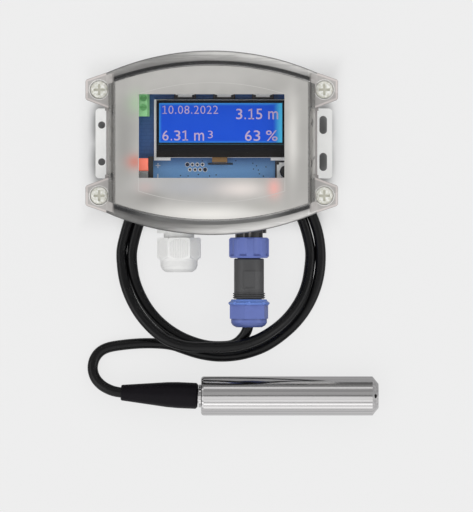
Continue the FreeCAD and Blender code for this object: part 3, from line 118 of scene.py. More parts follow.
TAIL_END = [
    (-29.4, -110.5, CABLE_LEVEL),
    (-38.9, -110.4, CABLE_LEVEL),
    (-48.4, -111.2, CABLE_LEVEL),
    (-57.2, -112.5, CABLE_LEVEL),
    (-62.1, -114.9, CABLE_LEVEL),
    (-65.3, -119.3, -3.0),
    (-66.2, -124.7, -2.2),
    (-64.6, -129.9, -0.6),
    (-60.8, -133.9, 1.6),
    (-56.4, -136.2, 3.7),
    (-52.3, -137.4, 4.8),
    (-48.6, -137.73, 4.8),
]

# Angle between the points of a lying turn, the share of a chord's sag that its points stand out by, and
# where the outer turn is a little wider, as an angle and a share of the radius.
RING_STEP = 20.5
SAG_SHARE = 0.7
WIDE_ANGLE = 622
WIDE_SHARE = 1.01


def on_ring(angle, reach, height):
    """A point of the cable ring."""
    turn = math.radians(angle)
    return spot(RING_MIDDLE[0] - reach * math.sin(turn), RING_MIDDLE[1] - reach * math.cos(turn), height)


def ring_turn(first, last, reach):
    """The points of a lying turn between two angles, without its ends."""
    count = max(2, round((last - first) / RING_STEP))
    step = (last - first) / count
    swell = 1 + (1 - math.cos(math.radians(step) / 2)) * SAG_SHARE
    return [on_ring(first + step * number, reach * swell, CABLE_LEVEL) for number in range(1, count)]


# Sizes and colours that a user would change

def length_setting(name, about, default):
    """A length, in metres."""
    return bpy.props.FloatProperty(name=name, description=about, default=default, unit="LENGTH")


def colour_setting(name, about, default):
    """A colour."""
    return bpy.props.FloatVectorProperty(
        name=name, description=about, subtype="COLOR", size=3, default=default)


def text_setting(name, about, default):
    """A few letters or figures."""
    return bpy.props.StringProperty(name=name, description=about, default=default)


class CableSettings(bpy.types.PropertyGroup):
    """Sizes of the cable."""

    diameter: length_setting("Diameter", "Outside diameter of the cable", 0.0058)
    length: length_setting("Length", "Length of the cable from plug to boot", 0.79)
    inner_turn: length_setting("Inner turn", "Radius of the ring's inner turn", 0.0496)
    outer_turn: length_setting("Outer turn", "Radius of the ring's outer turn", 0.0553)


class DisplaySettings(bpy.types.PropertyGroup):
    """What the display shows, and its colours."""

    date: text_setting("Date", "Date on the display", "10.08.2022")
    level: text_setting("Level", "Level on the display", "3.15 m")
    volume: text_setting("Volume", "Volume on the display", "6.31 m")
    power: text_setting("Power", "Power of the volume's unit", "3")
    share: text_setting("Share", "Filling on the display", "63 %")
    blue: colour_setting("Blue", "Colour of the lit field", (0.004, 0.062, 0.54))
    rim: colour_setting("Rim", "Colour of the field's edges", (0.07, 0.52, 0.75))
    digits: colour_setting("Digits", "Colour of the digits", (0.46, 0.36, 0.53))


class FinishSettings(bpy.types.PropertyGroup):
    """Colours of the housing, the connector and the cable."""

    white: colour_setting("White", "White mouldings", (0.88, 0.88, 0.87))
    clear: colour_setting("Clear", "Tint of the clear lid", (0.88, 0.865, 0.84))
    film: colour_setting("Film", "Frosted front film", (0.43, 0.42, 0.4))
    blue: colour_setting("Connector", "Blue connector rings", (0.13, 0.18, 0.5))
    grey: colour_setting("Plug", "Dark plug body", (0.06, 0.06, 0.062))
    board: colour_setting("Board", "Circuit board", (0.03, 0.12, 0.36))
    jacket: colour_setting("Jacket", "Cable jacket", (0.003, 0.003, 0.0035))
    steel: colour_setting("Steel", "Probe and screws", (0.62, 0.61, 0.61))


class StageSettings(bpy.types.PropertyGroup):
    """The stage's floor, light and camera."""

    floor: colour_setting("Floor", "Colour of the floor", (0.855, 0.855, 0.855))
    pale: bpy.props.FloatProperty(
        name="Pale", description="How much of the floor's shade is lifted to its own colour", default=0.87)
    distance: length_setting("Camera distance", "Height of the camera over the lid", 6.0)
    height: length_setting("View height", "What the view takes in from top to bottom", 0.2816)


def finishes():
    """The colours that are set in this scene."""
    return bpy.context.scene.sensor_finish


# Modelling helpers

# How nearly a face or an edge has to point along an axis to be picked, and the angles from which an edge
# is sharp for a bevel and for smooth shading.
FACING = 0.9
BEVEL_ANGLE = math.radians(40)
SHARP_ANGLE = math.radians(35)


def deselect():
    """Leaves nothing selected, in object mode."""
    if bpy.context.object is not None and bpy.context.object.mode != "OBJECT":
        bpy.ops.object.mode_set(mode="OBJECT")
    bpy.ops.object.select_all(action="DESELECT")


def only(piece):
    """Selects one piece and makes it active."""
    deselect()
    piece.select_set(True)
    bpy.context.view_layer.objects.active = piece


@contextlib.contextmanager
def editing(piece):
    """Edit mode on one piece."""
    only(piece)
    bpy.ops.object.mode_set(mode="EDIT")
    try:
        yield
    finally:
        bpy.ops.object.mode_set(mode="OBJECT")


def pick(piece, kind, test):
    """In edit mode, selects the faces or edges whose middle and direction pass a test."""
    bpy.ops.mesh.select_mode(type=kind)
    bpy.ops.mesh.select_all(action="DESELECT")
    mesh = bmesh.from_edit_mesh(piece.data)
    mesh.normal_update()
    for part in mesh.faces if kind == "FACE" else mesh.edges:
        if kind == "FACE":
            middle = part.calc_center_median()
            direction = part.normal
        else:
            middle = (part.verts[0].co + part.verts[1].co) / 2
            direction = (part.verts[1].co - part.verts[0].co).normalized()
        if test(middle, direction):
            part.select_set(True)
    mesh.select_flush_mode()
    bmesh.update_edit_mesh(piece.data)


def named(name):
    """Names the new active object and puts its place into its mesh."""
    piece = bpy.context.object
    piece.name = name
    piece.data.name = name
    bpy.ops.object.transform_apply(location=True, rotation=True, scale=True)
    return piece


def slab(name, low, high):
    """A box between two corners in millimetres from the housing's back, ready for edit mode."""
    deselect()
    low = spot(*low)
    high = spot(*high)
    bpy.ops.mesh.primitive_cube_add(size=1, location=(low + high) / 2)
    bpy.context.object.scale = high - low
    return named(name)


def drum(name, middle, radius, depth, sides):
    """An upright cylinder about a place in millimetres, ready for edit mode."""
    deselect()
    bpy.ops.mesh.primitive_cylinder_add(
        vertices=sides, radius=radius * MM, depth=depth * MM, location=spot(*middle))
    return named(name)


def inset_top(piece, width, rise=0.0):
    """Insets the upper face of a piece by a width and lifts it or lets it down, in millimetres."""
    with editing(piece):
        pick(piece, "FACE", lambda middle, way: way.z > FACING)
        bpy.ops.mesh.inset(thickness=width * MM)
        if rise:
            bpy.ops.transform.translate(value=(0, 0, rise * MM))
    return piece


def soften(piece, width):
    """Bevels every sharp edge of a piece by a modifier that is applied."""
    only(piece)
    bevel = piece.modifiers.new("soft edges", "BEVEL")
    bevel.width = width * MM
    bevel.segments = 1
    bevel.limit_method = "ANGLE"
    bevel.angle_limit = BEVEL_ANGLE
    bpy.ops.object.modifier_apply(modifier=bevel.name)
    bpy.ops.object.shade_smooth_by_angle(angle=SHARP_ANGLE)


def joined(name, pieces):
    """Several pieces as one mesh."""
    deselect()
    for piece in pieces:
        piece.select_set(True)
    bpy.context.view_layer.objects.active = pieces[0]
    if len(pieces) > 1:
        bpy.ops.object.join()
    pieces[0].name = name
    pieces[0].data.name = name
    return pieces[0]


def finish_piece(piece, material, body):
    """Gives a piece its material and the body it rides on."""
    piece.data.materials.clear()
    piece.data.materials.append(material)
    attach(piece, body)


def dress(material, *nodes):
    """Puts a material on CAD nodes."""
    for name in nodes:
        mesh = NODES[name].data
        mesh.materials.clear()
        mesh.materials.append(material)


# Shading helpers

def toned(colour, factor):
    """A colour made darker or lighter."""
    return [min(1.0, c * factor) for c in colour]


def greys(stops):
    """Grey stops of a colour ramp, from their places and brightness."""
    return [(place, (grey, grey, grey)) for place, grey in stops]


class Shading:
    """Adds nodes to one node tree and wires them."""

    def __init__(self, tree):
        self.tree = tree
        self.count = 0

    def add(self, kind, settings=None, **inputs):
        """A node with settings and inputs; an input is a value or another node's output."""
        made = self.tree.nodes.new(kind)
        made.location = (220 * (self.count % 8), -240 * (self.count // 8))
        self.count += 1
        for key, setting in (settings or {}).items():
            setattr(made, key, setting)
        self.feed_all(made, inputs)
        return made

    def feed_all(self, made, inputs):
        """Feeds the inputs of a node by their names, with _ for a space."""
        for key, source in inputs.items():
            self.feed(made.inputs[key.replace("_", " ")], source)

    def feed(self, socket, source):
        """Sets a socket, or links it."""
        if isinstance(source, bpy.types.NodeSocket):
            self.tree.links.new(source, socket)
        elif socket.type == "RGBA":
            socket.default_value = (*source, 1.0)
        else:
            socket.default_value = source

    def maths(self, operation, first, second=0.0, clamp=False):
        """One step of arithmetic."""
        made = self.add("ShaderNodeMath", {"operation": operation, "use_clamp": clamp})
        self.feed(made.inputs[0], first)
        self.feed(made.inputs[1], second)
        return made.outputs[0]

    def times(self, first, second):
        """The product of two values."""
        return self.maths("MULTIPLY", first, second)

    def plus(self, first, second, clamp=False):
        """The sum of two values, held between 0 and 1 where clamped."""
        return self.maths("ADD", first, second, clamp)

    def minus(self, first, second):
        """The difference of two values."""
        return self.maths("SUBTRACT", first, second)

    def over(self, first, second):
        """One value divided by another."""
        return self.maths("DIVIDE", first, second)

    def most(self, *values):
        """The greatest of several values."""
        best = values[0]
        for value in values[1:]:
            best = self.maths("MAXIMUM", best, value)
        return best

    def size(self, value):
        """A value without its sign."""
        return self.maths("ABSOLUTE", value)

    def squares(self, first, second):
        """The sum of two squares."""
        return self.plus(self.times(first, first), self.times(second, second))

    def below(self, value, limit):
        """1 where a value is under a limit, otherwise 0."""
        return self.maths("LESS_THAN", value, limit)

    def above(self, value, limit):
        """1 where a value is over a limit, otherwise 0."""
        return self.maths("GREATER_THAN", value, limit)

    def inverse(self, share):
        """What is left of a share."""
        return self.minus(1.0, share)

    def smooth(self, value, low, high):
        """0 below low, 1 above high, and a soft step between."""
        made = self.add("ShaderNodeMapRange", {"interpolation_type": "SMOOTHSTEP"},
                        Value=value, From_Min=low, From_Max=high)
        return made.outputs["Result"]

    def fade(self, value, low, high):
        """1 below low, 0 above high, and a soft step between."""
        return self.inverse(self.smooth(value, low, high))

    def within(self, value, rise_low, rise_high, fall_low, fall_high):
        """A band that rises softly between two values and falls between two others."""
        return self.times(self.smooth(value, rise_low, rise_high), self.fade(value, fall_low, fall_high))

    def mix(self, share, first, second, kind="MIX"):
        """Two colours mixed by a share."""
        made = self.add("ShaderNodeMix", {"data_type": "RGBA", "blend_type": kind})
        self.feed(made.inputs["Factor"], share)
        self.feed(made.inputs[6], first)
        self.feed(made.inputs[7], second)
        return made.outputs[2]

    def ramp(self, value, stops):
        """A colour ramp of (place, colour) stops."""
        made = self.add("ShaderNodeValToRGB", Fac=value)
        elements = made.color_ramp.elements
        while len(elements) < len(stops):
            elements.new(0.5)
        for element, (position, colour) in zip(elements, stops):
            element.position = position
            element.color = (*colour, 1.0)
        return made.outputs["Color"]

    def place(self, stretch=(1, 1, 1)):
        """Object coordinates from the middle of the housing's back, in millimetres times a stretch."""
        where = self.add("ShaderNodeTexCoord").outputs["Object"]
        factors = Vector(stretch) / MM
        start = [-c * f for c, f in zip(HOUSING, factors)]
        return self.add("ShaderNodeMapping", Vector=where, Scale=factors, Location=start).outputs["Vector"]

    def split(self, vector, letters):
        """Parts of a vector, such as its X and Y."""
        parts = self.add("ShaderNodeSeparateXYZ", Vector=vector).outputs
        return [parts[letter] for letter in letters]

    def axes(self, letters):
        """Parts of a place, in millimetres from the middle of the housing's back."""
        return self.split(self.place(), letters)

    def axis(self, letter):
        """One part of a place, in millimetres from the middle of the housing's back."""
        return self.axes(letter)[0]

    def noise(self, scale, detail, stretch=(1, 1, 1)):
        """A noise value."""
        made = self.add("ShaderNodeTexNoise", Vector=self.place(stretch), Scale=scale, Detail=detail)
        return made.outputs["Fac"]

    def bump(self, height, strength, depth):
        """A normal from a height, with its depth in millimetres."""
        made = self.add("ShaderNodeBump", Height=height, Strength=strength, Distance=depth * MM)
        return made.outputs["Normal"]


class Finish(Shading):
    """A new material: its nodes, its surface shader and its end."""

    def __init__(self, name):
        self.made = bpy.data.materials.new(name)
        self.made.use_nodes = True
        self.made.node_tree.nodes.clear()
        super().__init__(self.made.node_tree)
        self.surface = self.add("ShaderNodeBsdfPrincipled")
        self.end = self.add("ShaderNodeOutputMaterial", Surface=self.surface.outputs["BSDF"])

    def done(self, **inputs):
        """Feeds the surface shader and gives the material."""
        self.feed_all(self.surface, inputs)
        return self.made


def grain_group():
    """Fine moulded grain: a colour that varies softly, a roughness and a height."""
    group = bpy.data.node_groups.get("Moulded grain")
    if group is not None:
        return group
    group = bpy.data.node_groups.new("Moulded grain", "ShaderNodeTree")
    sockets = group.interface
    sockets.new_socket("Color", in_out="INPUT", socket_type="NodeSocketColor")
    for name, default in (("Roughness", 0.45), ("Variation", 0.06), ("Grain size", 1.0)):
        socket = sockets.new_socket(name, in_out="INPUT", socket_type="NodeSocketFloat")
        socket.default_value = default
    sockets.new_socket("Color", in_out="OUTPUT", socket_type="NodeSocketColor")
    for name in ("Roughness", "Height"):
        sockets.new_socket(name, in_out="OUTPUT", socket_type="NodeSocketFloat")
    net = Shading(group)
    start = net.add("NodeGroupInput").outputs
    shift = net.times(net.minus(net.noise(0.09, 3.0), 0.5), start["Variation"])
    gain = net.plus(net.times(shift, 2.0), 1.0)
    tint = net.add("ShaderNodeVectorMath", {"operation": "SCALE"}, Scale=gain)
    net.feed(tint.inputs[0], start["Color"])
    rough = net.plus(start["Roughness"], net.times(shift, 1.5), clamp=True)
    fine = net.noise(net.over(3.2, start["Grain size"]), 2.0)
    net.add("NodeGroupOutput", Color=tint.outputs[0], Roughness=rough, Height=fine)
    return group


def grained(name, colour, roughness, variation=0.06, grain=1.0, depth=0.02, specular=0.5, glow=0.0):
    """A moulded plastic or rubber with fine grain, and a glow of painted light where one is given."""
    net = Finish(name)
    effect = net.add("ShaderNodeGroup", {"node_tree": grain_group()}, Color=colour, Roughness=roughness,
                     Variation=variation, Grain_size=grain).outputs
    # Painted light: a glow of the part's own, though it is no lamp.
    if glow > 0:
        net.done(Emission_Color=effect["Color"], Emission_Strength=glow)
    return net.done(Base_Color=effect["Color"], Roughness=effect["Roughness"], Specular_IOR_Level=specular,
                    Normal=net.bump(effect["Height"], 0.5, depth))


def bright_metal(name, colour, roughness, stretch, contrast=0.38):
    """Metal with streaks, drawn out along the axis of the least stretch."""
    net = Finish(name)
    streaks = net.noise(1.0, 4.0, stretch)
    shade = net.ramp(streaks, [
        (0.3, toned(colour, 1 - contrast)),
        (0.52, colour),
        (0.72, toned(colour, 1 + contrast)),
    ])
    rough = net.plus(net.times(streaks, 0.12), roughness - 0.06)
    return net.done(Base_Color=shade, Roughness=rough, Metallic=1.0, Normal=net.bump(streaks, 0.2, 0.02))


# Operators

class SENSOR_OT_stage(bpy.types.Operator):
    """Sets up the floor, the light and the camera that looks straight down"""

    bl_idname = "sensor.stage"
    bl_label = "Stage"

    # Width of the floor in metres, and the tones that gloss shows of it, below the probe and above it.
    FLOOR = 24
    MIRRORED = ((0.68, 0.68, 0.685), (0.42, 0.42, 0.425))
    MIRRORED_SHARE = 0.85
    MIRRORED_EDGE = (-150.0, -126.0)

    # Where the wall screws' holes are, either side of the middle, how dark the floor's painted shade is
    # there, how far that reaches and its shape along Y, and the soft edge of the housing's footprint, in
    # millimetres.
    HOLES = (60.9, 10.1)
    HOLE_SHADE = 0.25
    HOLE_REACH = (1.0, 9.0)
    HOLE_SLOT = 0.45
    FOOTPRINT_X = (63.0, 76.0)
    FOOTPRINT_Y = (34.0, 52.0)

    # The studio's brightness: by height, and for gloss by the lean of the light panels over the object.
    SKY = ((0.0, 0.33), (0.25, 0.46), (0.55, 0.8), (0.9, 0.68))
    PANELS = (
        (0.0, 0.5), (0.03, 0.75), (0.06, 1.05), (0.1, 1.3), (0.137, 1.1), (0.165, 0.7), (0.18, 0.75),
        (0.2, 1.65), (0.225, 1.85), (0.25, 1.2), (0.275, 0.4), (0.292, 0.45), (0.318, 1.1), (0.352, 1.2),
        (0.385, 1.05), (0.415, 0.85), (0.44, 1.2), (0.46, 1.2), (0.482, 0.8), (0.503, 0.18), (0.52, 0.24),
        (0.55, 0.55), (0.6, 0.45), (0.7, 0.38), (0.742, 0.42), (0.76, 1.2), (0.79, 1.2), (0.812, 0.34),
        (0.86, 0.22), (0.93, 0.2), (1.0, 0.12),
    )
    STRIPS = (
        (0.0, 0.05), (0.1, 0.1), (0.13, 2.5), (0.19, 2.5), (0.23, 0.05), (0.77, 0.05), (0.81, 2.5),
        (0.87, 2.5), (0.9, 0.1), (1.0, 0.05),
    )

    # Lamps: name, strength, angle across and lean about X and Y, in degrees.
    LAMPS = (
        ("key light", 0.75, 50, 28, -18),
        ("fill light", 0.45, 70, -30, 25),
    )

    # The camera's sensor width, and the place that it looks down on, in millimetres.
    SENSOR = 36
    VIEW_MIDDLE = (13.6, -62.2, 30)

    def execute(self, context):
        scene = context.scene
        stage = scene.sensor_stage
        scene.view_settings.view_transform = "Standard"
        deselect()
        bpy.ops.mesh.primitive_plane_add(size=self.FLOOR)
        floor = named("floor")
        with editing(floor):
            bpy.ops.mesh.subdivide(number_cuts=4)
        floor.data.materials.append(self.paper(stage))
        self.light(scene, stage)
        self.camera(scene, stage)
        return {"FINISHED"}

    def paper(self, stage):
        """Pale paper, painted shade under the wall screws' holes, lifted to one tone beyond the housing."""
        net = Finish("floor paper")
        x, y = net.axes("XY")
        side = net.size(x)
        up = net.size(y)
        # Painted shade: the floor darkens beneath the wall screws' holes.
        open_x = net.minus(side, self.HOLES[0])
        open_y = net.times(net.minus(up, self.HOLES[1]), self.HOLE_SLOT)
        clear = net.smooth(net.maths("SQRT", net.squares(open_x, open_y)), *self.HOLE_REACH)
        tone = net.mix(net.noise(0.004, 2.0), toned(stage.floor, 0.992), stage.floor)
        tone = net.mix(clear, toned(stage.floor, self.HOLE_SHADE), tone)
        made = net.done(Base_Color=tone, Roughness=0.9, Specular_IOR_Level=0.1)
        rays = net.add("ShaderNodeLightPath").outputs
        gloss = rays["Is Glossy Ray"]
        seen = net.most(rays["Is Camera Ray"], gloss, rays["Is Transmission Ray"])
        beyond = net.most(net.smooth(side, *self.FOOTPRINT_X), net.smooth(up, *self.FOOTPRINT_Y))
        lifted = net.times(net.times(seen, beyond), stage.pale)
        mirrored = net.mix(net.smooth(y, *self.MIRRORED_EDGE), *self.MIRRORED)
        lit = net.add("ShaderNodeEmission", Color=net.mix(gloss, stage.floor, mirrored), Strength=1.0)
        both = net.add("ShaderNodeMixShader", Fac=net.most(lifted, net.times(gloss, self.MIRRORED_SHARE)))
        net.feed(both.inputs[1], net.surface.outputs["BSDF"])
        net.feed(both.inputs[2], lit.outputs["Emission"])
        net.feed(net.end.inputs["Surface"], both.outputs["Shader"])
        return made

    def light(self, scene, stage):
        """A soft sky, panels and strips that only gloss shows, and two wide lamps."""
        world = bpy.data.worlds.new("studio")
        scene.world = world
        world.use_nodes = True
        world.node_tree.nodes.clear()
        net = Shading(world.node_tree)
        x, y, z = net.split(net.add("ShaderNodeTexCoord").outputs["Generated"], "XYZ")
        sky = net.ramp(z, greys(self.SKY))
        panels = self.bands(net, y, z, self.PANELS)
        strips = self.bands(net, x, z, self.STRIPS)
        panels = net.mix(net.fade(net.size(y), 0.25, 0.5), panels, strips, "LIGHTEN")
        rays = net.add("ShaderNodeLightPath").outputs
        colour = net.mix(rays["Is Glossy Ray"], sky, panels)
        colour = net.mix(rays["Is Camera Ray"], colour, stage.floor)
        back = net.add("ShaderNodeBackground", Color=colour, Strength=1.0)
        net.add("ShaderNodeOutputWorld", Surface=back.outputs["Background"])
        for name, strength, angle, lean_x, lean_y in self.LAMPS:
            lamp = bpy.data.lights.new(name, "SUN")
            lamp.energy = strength
            lamp.angle = math.radians(angle)
            holder = bpy.data.objects.new(name, lamp)
            holder.rotation_euler = (math.radians(lean_x), math.radians(lean_y), 0)
            holder.visible_glossy = False
            scene.collection.objects.link(holder)

    def bands(self, net, along, up, stops):
        """Light panels by their lean from straight overhead, from 0 at one horizon to 1 at the other."""
        lean = net.over(net.maths("ARCTAN2", along, up), math.pi)
        return net.ramp(net.plus(lean, 0.5, clamp=True), greys(stops))

    def camera(self, scene, stage):
        """The camera over the object."""
        camera = bpy.data.cameras.new("camera")
        camera.sensor_fit = "AUTO"
        camera.sensor_width = self.SENSOR
        camera.lens = self.SENSOR * stage.distance / stage.height
        camera.clip_end = 100
        holder = bpy.data.objects.new("camera", camera)
        middle = spot(*self.VIEW_MIDDLE)
        holder.location = (middle.x, middle.y, middle.z + stage.distance)
        scene.collection.objects.link(holder)
        scene.camera = holder


class SENSOR_OT_cable(bpy.types.Operator):
    """Lays the cable from the plug, twice round the ring and out to the boot"""

    bl_idname = "sensor.cable"
    bl_label = "Cable"

    def execute(self, context):
        sizes = context.scene.sensor_cable
        curve = bpy.data.curves.new("cable", "CURVE")
        curve.dimensions = "3D"
        spline = curve.splines.new("NURBS")
        route = self.route(sizes.inner_turn / MM, sizes.outer_turn / MM)
        spline.points.add(len(route) - 1)
        for point, place in zip(spline.points, route):
            point.co = (*place, 1.0)
        spline.order_u = 3
        spline.use_endpoint_u = True
        spline.resolution_u = 8
        curve.bevel_depth = sizes.diameter / 2
        curve.bevel_resolution = 5
        curve.use_fill_caps = True
        cable = bpy.data.objects.new("cable", curve)
        context.scene.collection.objects.link(cable)
        finish_piece(cable, self.jacket(), "sensor")
        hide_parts("cable_lead", "cable_over", "cable_coil", "cable_tail")
        return {"FINISHED"}

    def route(self, inner, outer):
        """The points of the cable's axis from the plug to the boot."""
        points = [spot(*point) for point in LEAD_START]
        points += [on_ring(*point) for point in LEAD_RING]
        points += ring_turn(LEAD_RING[-1][0], OVER_RING[0][0], inner)
        points += [on_ring(*point) for point in OVER_RING]
        points += ring_turn(OVER_RING[-1][0], WIDE_ANGLE, outer)
        points += [on_ring(WIDE_ANGLE, outer * WIDE_SHARE, CABLE_LEVEL)]
        points += ring_turn(WIDE_ANGLE, TAIL_RING[0][0], outer)
        points += [on_ring(*point) for point in TAIL_RING]
        return points + [spot(*point) for point in TAIL_END]

    def jacket(self):
        """Black rubber with a dull shine."""
        return grained("cable jacket", finishes().jacket, 0.3, 0.2, 1.5, 0.012, 0.26)


class SENSOR_OT_housing(bpy.types.Operator):
    """Finishes the base, the clear lid, the frosted film, the gasket and the screws"""

    bl_idname = "sensor.housing"
    bl_label = "Housing"

    # Width of a lid screw's head and the square of the reach of its cross's painted shade, in millimetres.
    HEAD = 9.2
    CROSS = 10.5

    # The lid's arches, each a radius and an apex, and how far out the rim's painted light and shade reach,
    # in millimetres.
    INNER_ARCH = (163.0, 43.4)
    OUTER_ARCH = (143.0, 50.7)
    RIM = 9.0

    # Soft edges across the rim: its start and its groove's painted shade outside the inner arch, its lip's
    # painted dark line outside the outer one, and where its pale corners start along X and end across.
    RIM_START = -0.9
    GROOVE_SHADE = (-0.9, -0.4, 1.4, 2.1)
    LIP_SHADE = (-0.9, -0.3)
    CORNER = (53.4, 54.4)
    CORNER_END = 4.0

    # Where the side strips start along X, end in height and turn pale along Y, where the ears start beside
    # the rim and beside the strips, and the raised panel's level and half its width.
    STRIP = (52.6, 53.4)
    STRIP_TOP = 41.0
    STRIP_END = (20.3, 21.0)
    EAR_BY_RIM = (57.6, 58.2)
    EAR_BY_STRIP = (56.4, 57.0)
    PANEL_LEVEL = (46.4, 47.2)
    PANEL_HALF = 52.7

    # How much of the light the wall holds back: anywhere, more at the rim, the strips and the ears, and
    # over the film.
    HELD = 0.4
    HELD_RIM = 0.45
    HELD_STRIP = 0.25
    HELD_EAR = 0.48
    HELD_PANEL = 0.006

    # An ear's tip along X, and for its upper and lower side the height at the tip and how the side leans.
    EAR_TIP = 69.3
    EAR_TOP = (34.5, 0.326, 0.945)
    EAR_FOOT = (23.7, 0.363, 0.932)

    # The middle of a screw's seat in an ear, where painted light lifts the shade, and the square of its
    # radius, in millimetres.
    SEAT = (61.8, 29.1)
    SEAT_SQUARE = 31.0

    # Soft lights and shades behind the film: place, reach along X and Y, colour and share.
    GLOWS = (
        (0.0, 37.0, 44.0, 9.0, (0.5, 0.49, 0.47), 0.8),
        (-48.0, 0.0, 9.0, 34.0, (0.3, 0.295, 0.28), 0.85),
        (44.6, 2.0, 4.2, 30.0, (0.84, 0.82, 0.78), 0.6),
        (50.5, 0.0, 4.2, 44.0, (0.4, 0.39, 0.37), 0.75),
        (0.0, -39.5, 46.0, 7.5, (0.88, 0.86, 0.82), 0.9),
        (-12.0, -24.0, 32.0, 8.0, (0.44, 0.45, 0.48), 0.75),
        (16.0, -25.5, 20.0, 6.5, (0.86, 0.78, 0.74), 0.75),
        (28.0, -35.0, 15.0, 4.5, (0.4, 0.39, 0.36), 0.55),
        (-34.0, -30.0, 14.0, 6.0, (0.27, 0.26, 0.245), 0.75),
        (-41.0, 21.5, 7.5, 9.0, (0.36, 0.56, 0.32), 0.6),
        (-42.0, -10.6, 7.0, 6.0, (0.6, 0.2, 0.15), 0.9),
        (34.2, -25.0, 5.2, 7.5, (0.86, 0.42, 0.37), 0.85),
        (-36.5, -24.5, 7.0, 5.0, (0.58, 0.42, 0.4), 0.5),
    )

    # What is left of a glow at its reach.
    GLOW_EDGE = 0.11

    def execute(self, context):
        dress(grained("white moulding", toned(finishes().white, 1.07), 0.42), "housing_base")
        dress(self.clear_lid(finishes().clear), "lid")
        dress(self.film(finishes().film), "front_film")
        dress(grained("gasket cord", (0.3, 0.3, 0.29), 0.7), "lid_gasket")
        dress(self.lid_screw(), "lid_screws")
        dress(bright_metal("plated screw", (0.72, 0.71, 0.69), 0.3, (0.9, 0.9, 0.9)), "board_screws")
        dress(grained("clamp screw", (0.26, 0.66, 0.27), 0.4, 0.15), "terminal_screws")
        return {"FINISHED"}

    def lid_screw(self):
        """Plated steel, with painted shade down in the cross of the head."""
        net = Finish("lid screw")
        x, y, z = net.axes("XYZ")
        low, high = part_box("lid_screws")
        reach_x = ((high[0] - low[0]) / MM - self.HEAD) / 2
        reach_y = ((high[1] - low[1]) / MM - self.HEAD) / 2
        square = net.squares(net.minus(net.size(x), reach_x), net.minus(net.size(y), reach_y))
        top = top_of("lid_screws")
        # Painted shade down in the cross of the head.
        cross = net.times(net.below(square, self.CROSS), net.fade(z, top - 0.9, top - 0.05))
        mottle = net.noise(0.7, 3.0)
        plate = net.mix(net.smooth(mottle, 0.4, 0.62), (0.8, 0.8, 0.72), (1.0, 1.0, 0.96))
        return net.done(Base_Color=net.mix(cross, plate, (0.68, 0.67, 0.58)), Metallic=0.4,
                        Roughness=net.plus(0.26, net.times(mottle, 0.14)))

    def clear_lid(self, clear):
        """Clear moulding, painted with light and shade on rim, side strips and ears, see-through over the
        film.
        """
        net = Finish("clear lid")
        x, y, z = net.axes("XYZ")
        side = net.size(x)
        up = net.size(y)
        arch = self.beyond_arch(net, x, up, *self.INNER_ARCH)
        streak = net.noise(1.0, 5.0, (0.05, 0.7, 0.5))
        rim = self.rim_tone(net, x, y, arch, streak, clear)
        on_rim = net.above(arch, self.RIM_START)
        straight = net.below(arch, self.RIM_START)
        colour = net.mix(on_rim, (0.5, 0.49, 0.47), rim)
        strip = net.times(net.smooth(side, *self.STRIP), net.below(z, self.STRIP_TOP))
        colour = net.mix(net.times(strip, straight), colour, self.strip_tone(net, x, up))
        by_strip = net.times(net.smooth(side, *self.EAR_BY_STRIP), straight)
        in_ear = net.most(net.smooth(side, *self.EAR_BY_RIM), by_strip)
        colour = net.mix(in_ear, colour, self.ear_tone(net, side, up))
        in_panel = net.times(net.smooth(z, *self.PANEL_LEVEL), net.below(arch, -1.0))
        in_panel = net.times(in_panel, net.below(side, self.PANEL_HALF))
        alpha = net.plus(self.HELD, net.times(on_rim, self.HELD_RIM))
        alpha = net.plus(alpha, net.times(strip, self.HELD_STRIP))
        alpha = net.plus(alpha, net.times(in_ear, self.HELD_EAR), clamp=True)
        alpha = net.plus(net.times(alpha, net.inverse(in_panel)), self.HELD_PANEL, clamp=True)
        rough = net.plus(0.12, net.times(streak, 0.14))
        return net.done(Base_Color=colour, Alpha=alpha, Roughness=rough, IOR=1.58)

    def rim_tone(self, net, x, y, arch, streak, clear):
        """The arched rim: streaked, painted shade to the left, in its groove and on its lip, and its
        corners.
        """
        side = net.size(x)
        # Painted light and shade across the rim: a dark line by the raised panel, paler in the middle,
        # darker outwards.
        band = net.ramp(net.over(arch, self.RIM), [
            (0.0, (0.07, 0.07, 0.07)),
            (0.13, (0.05, 0.05, 0.05)),
            (0.2, toned(clear, 0.5)),
            (0.32, toned(clear, 0.8)),
            (0.62, clear),
            (0.95, toned(clear, 0.62)),
        ])
        band = net.mix(net.smooth(streak, 0.38, 0.6), toned(clear, 0.68), band)
        smudge = net.smooth(net.noise(1.0, 2.0, (0.03, 0.16, 0.1)), 0.35, 0.65)
        band = net.mix(net.times(smudge, 0.6), band, toned(clear, 0.94))
        low = net.smooth(net.times(y, -1.0), 20.0, 40.0)
        # Painted shade: the rim darker to the left, more so towards the bottom.
        depth = net.times(net.fade(x, -40.0, 14.0), net.plus(0.55, net.times(low, 0.27)))
        band = net.mix(depth, band, (0.055, 0.054, 0.052))
        # Painted shade in the groove, with painted light low down in the middle and towards the right.
        rightward = net.times(net.smooth(x, -28.0, 6.0), 0.12)
        soft = net.most(net.times(low, net.fade(side, 28.0, 48.0)), rightward)
        painted_groove = net.mix(soft, (0.05, 0.05, 0.052), (0.24, 0.24, 0.235))
        band = net.mix(net.within(arch, *self.GROOVE_SHADE), band, painted_groove)
        # Painted shade: a dark line along the lid's lip.
        painted_lip_line = net.smooth(self.beyond_arch(net, x, net.size(y), *self.OUTER_ARCH), *self.LIP_SHADE)
        band = net.mix(net.times(painted_lip_line, 0.75), band, (0.09, 0.09, 0.09))
        corner = net.times(net.smooth(side, *self.CORNER), net.below(arch, self.CORNER_END))
        return net.mix(corner, band, (0.6, 0.575, 0.555))

    def strip_tone(self, net, x, up):
        """The side strips: painted shade on the left one, with dark marks, and pale at their ends."""
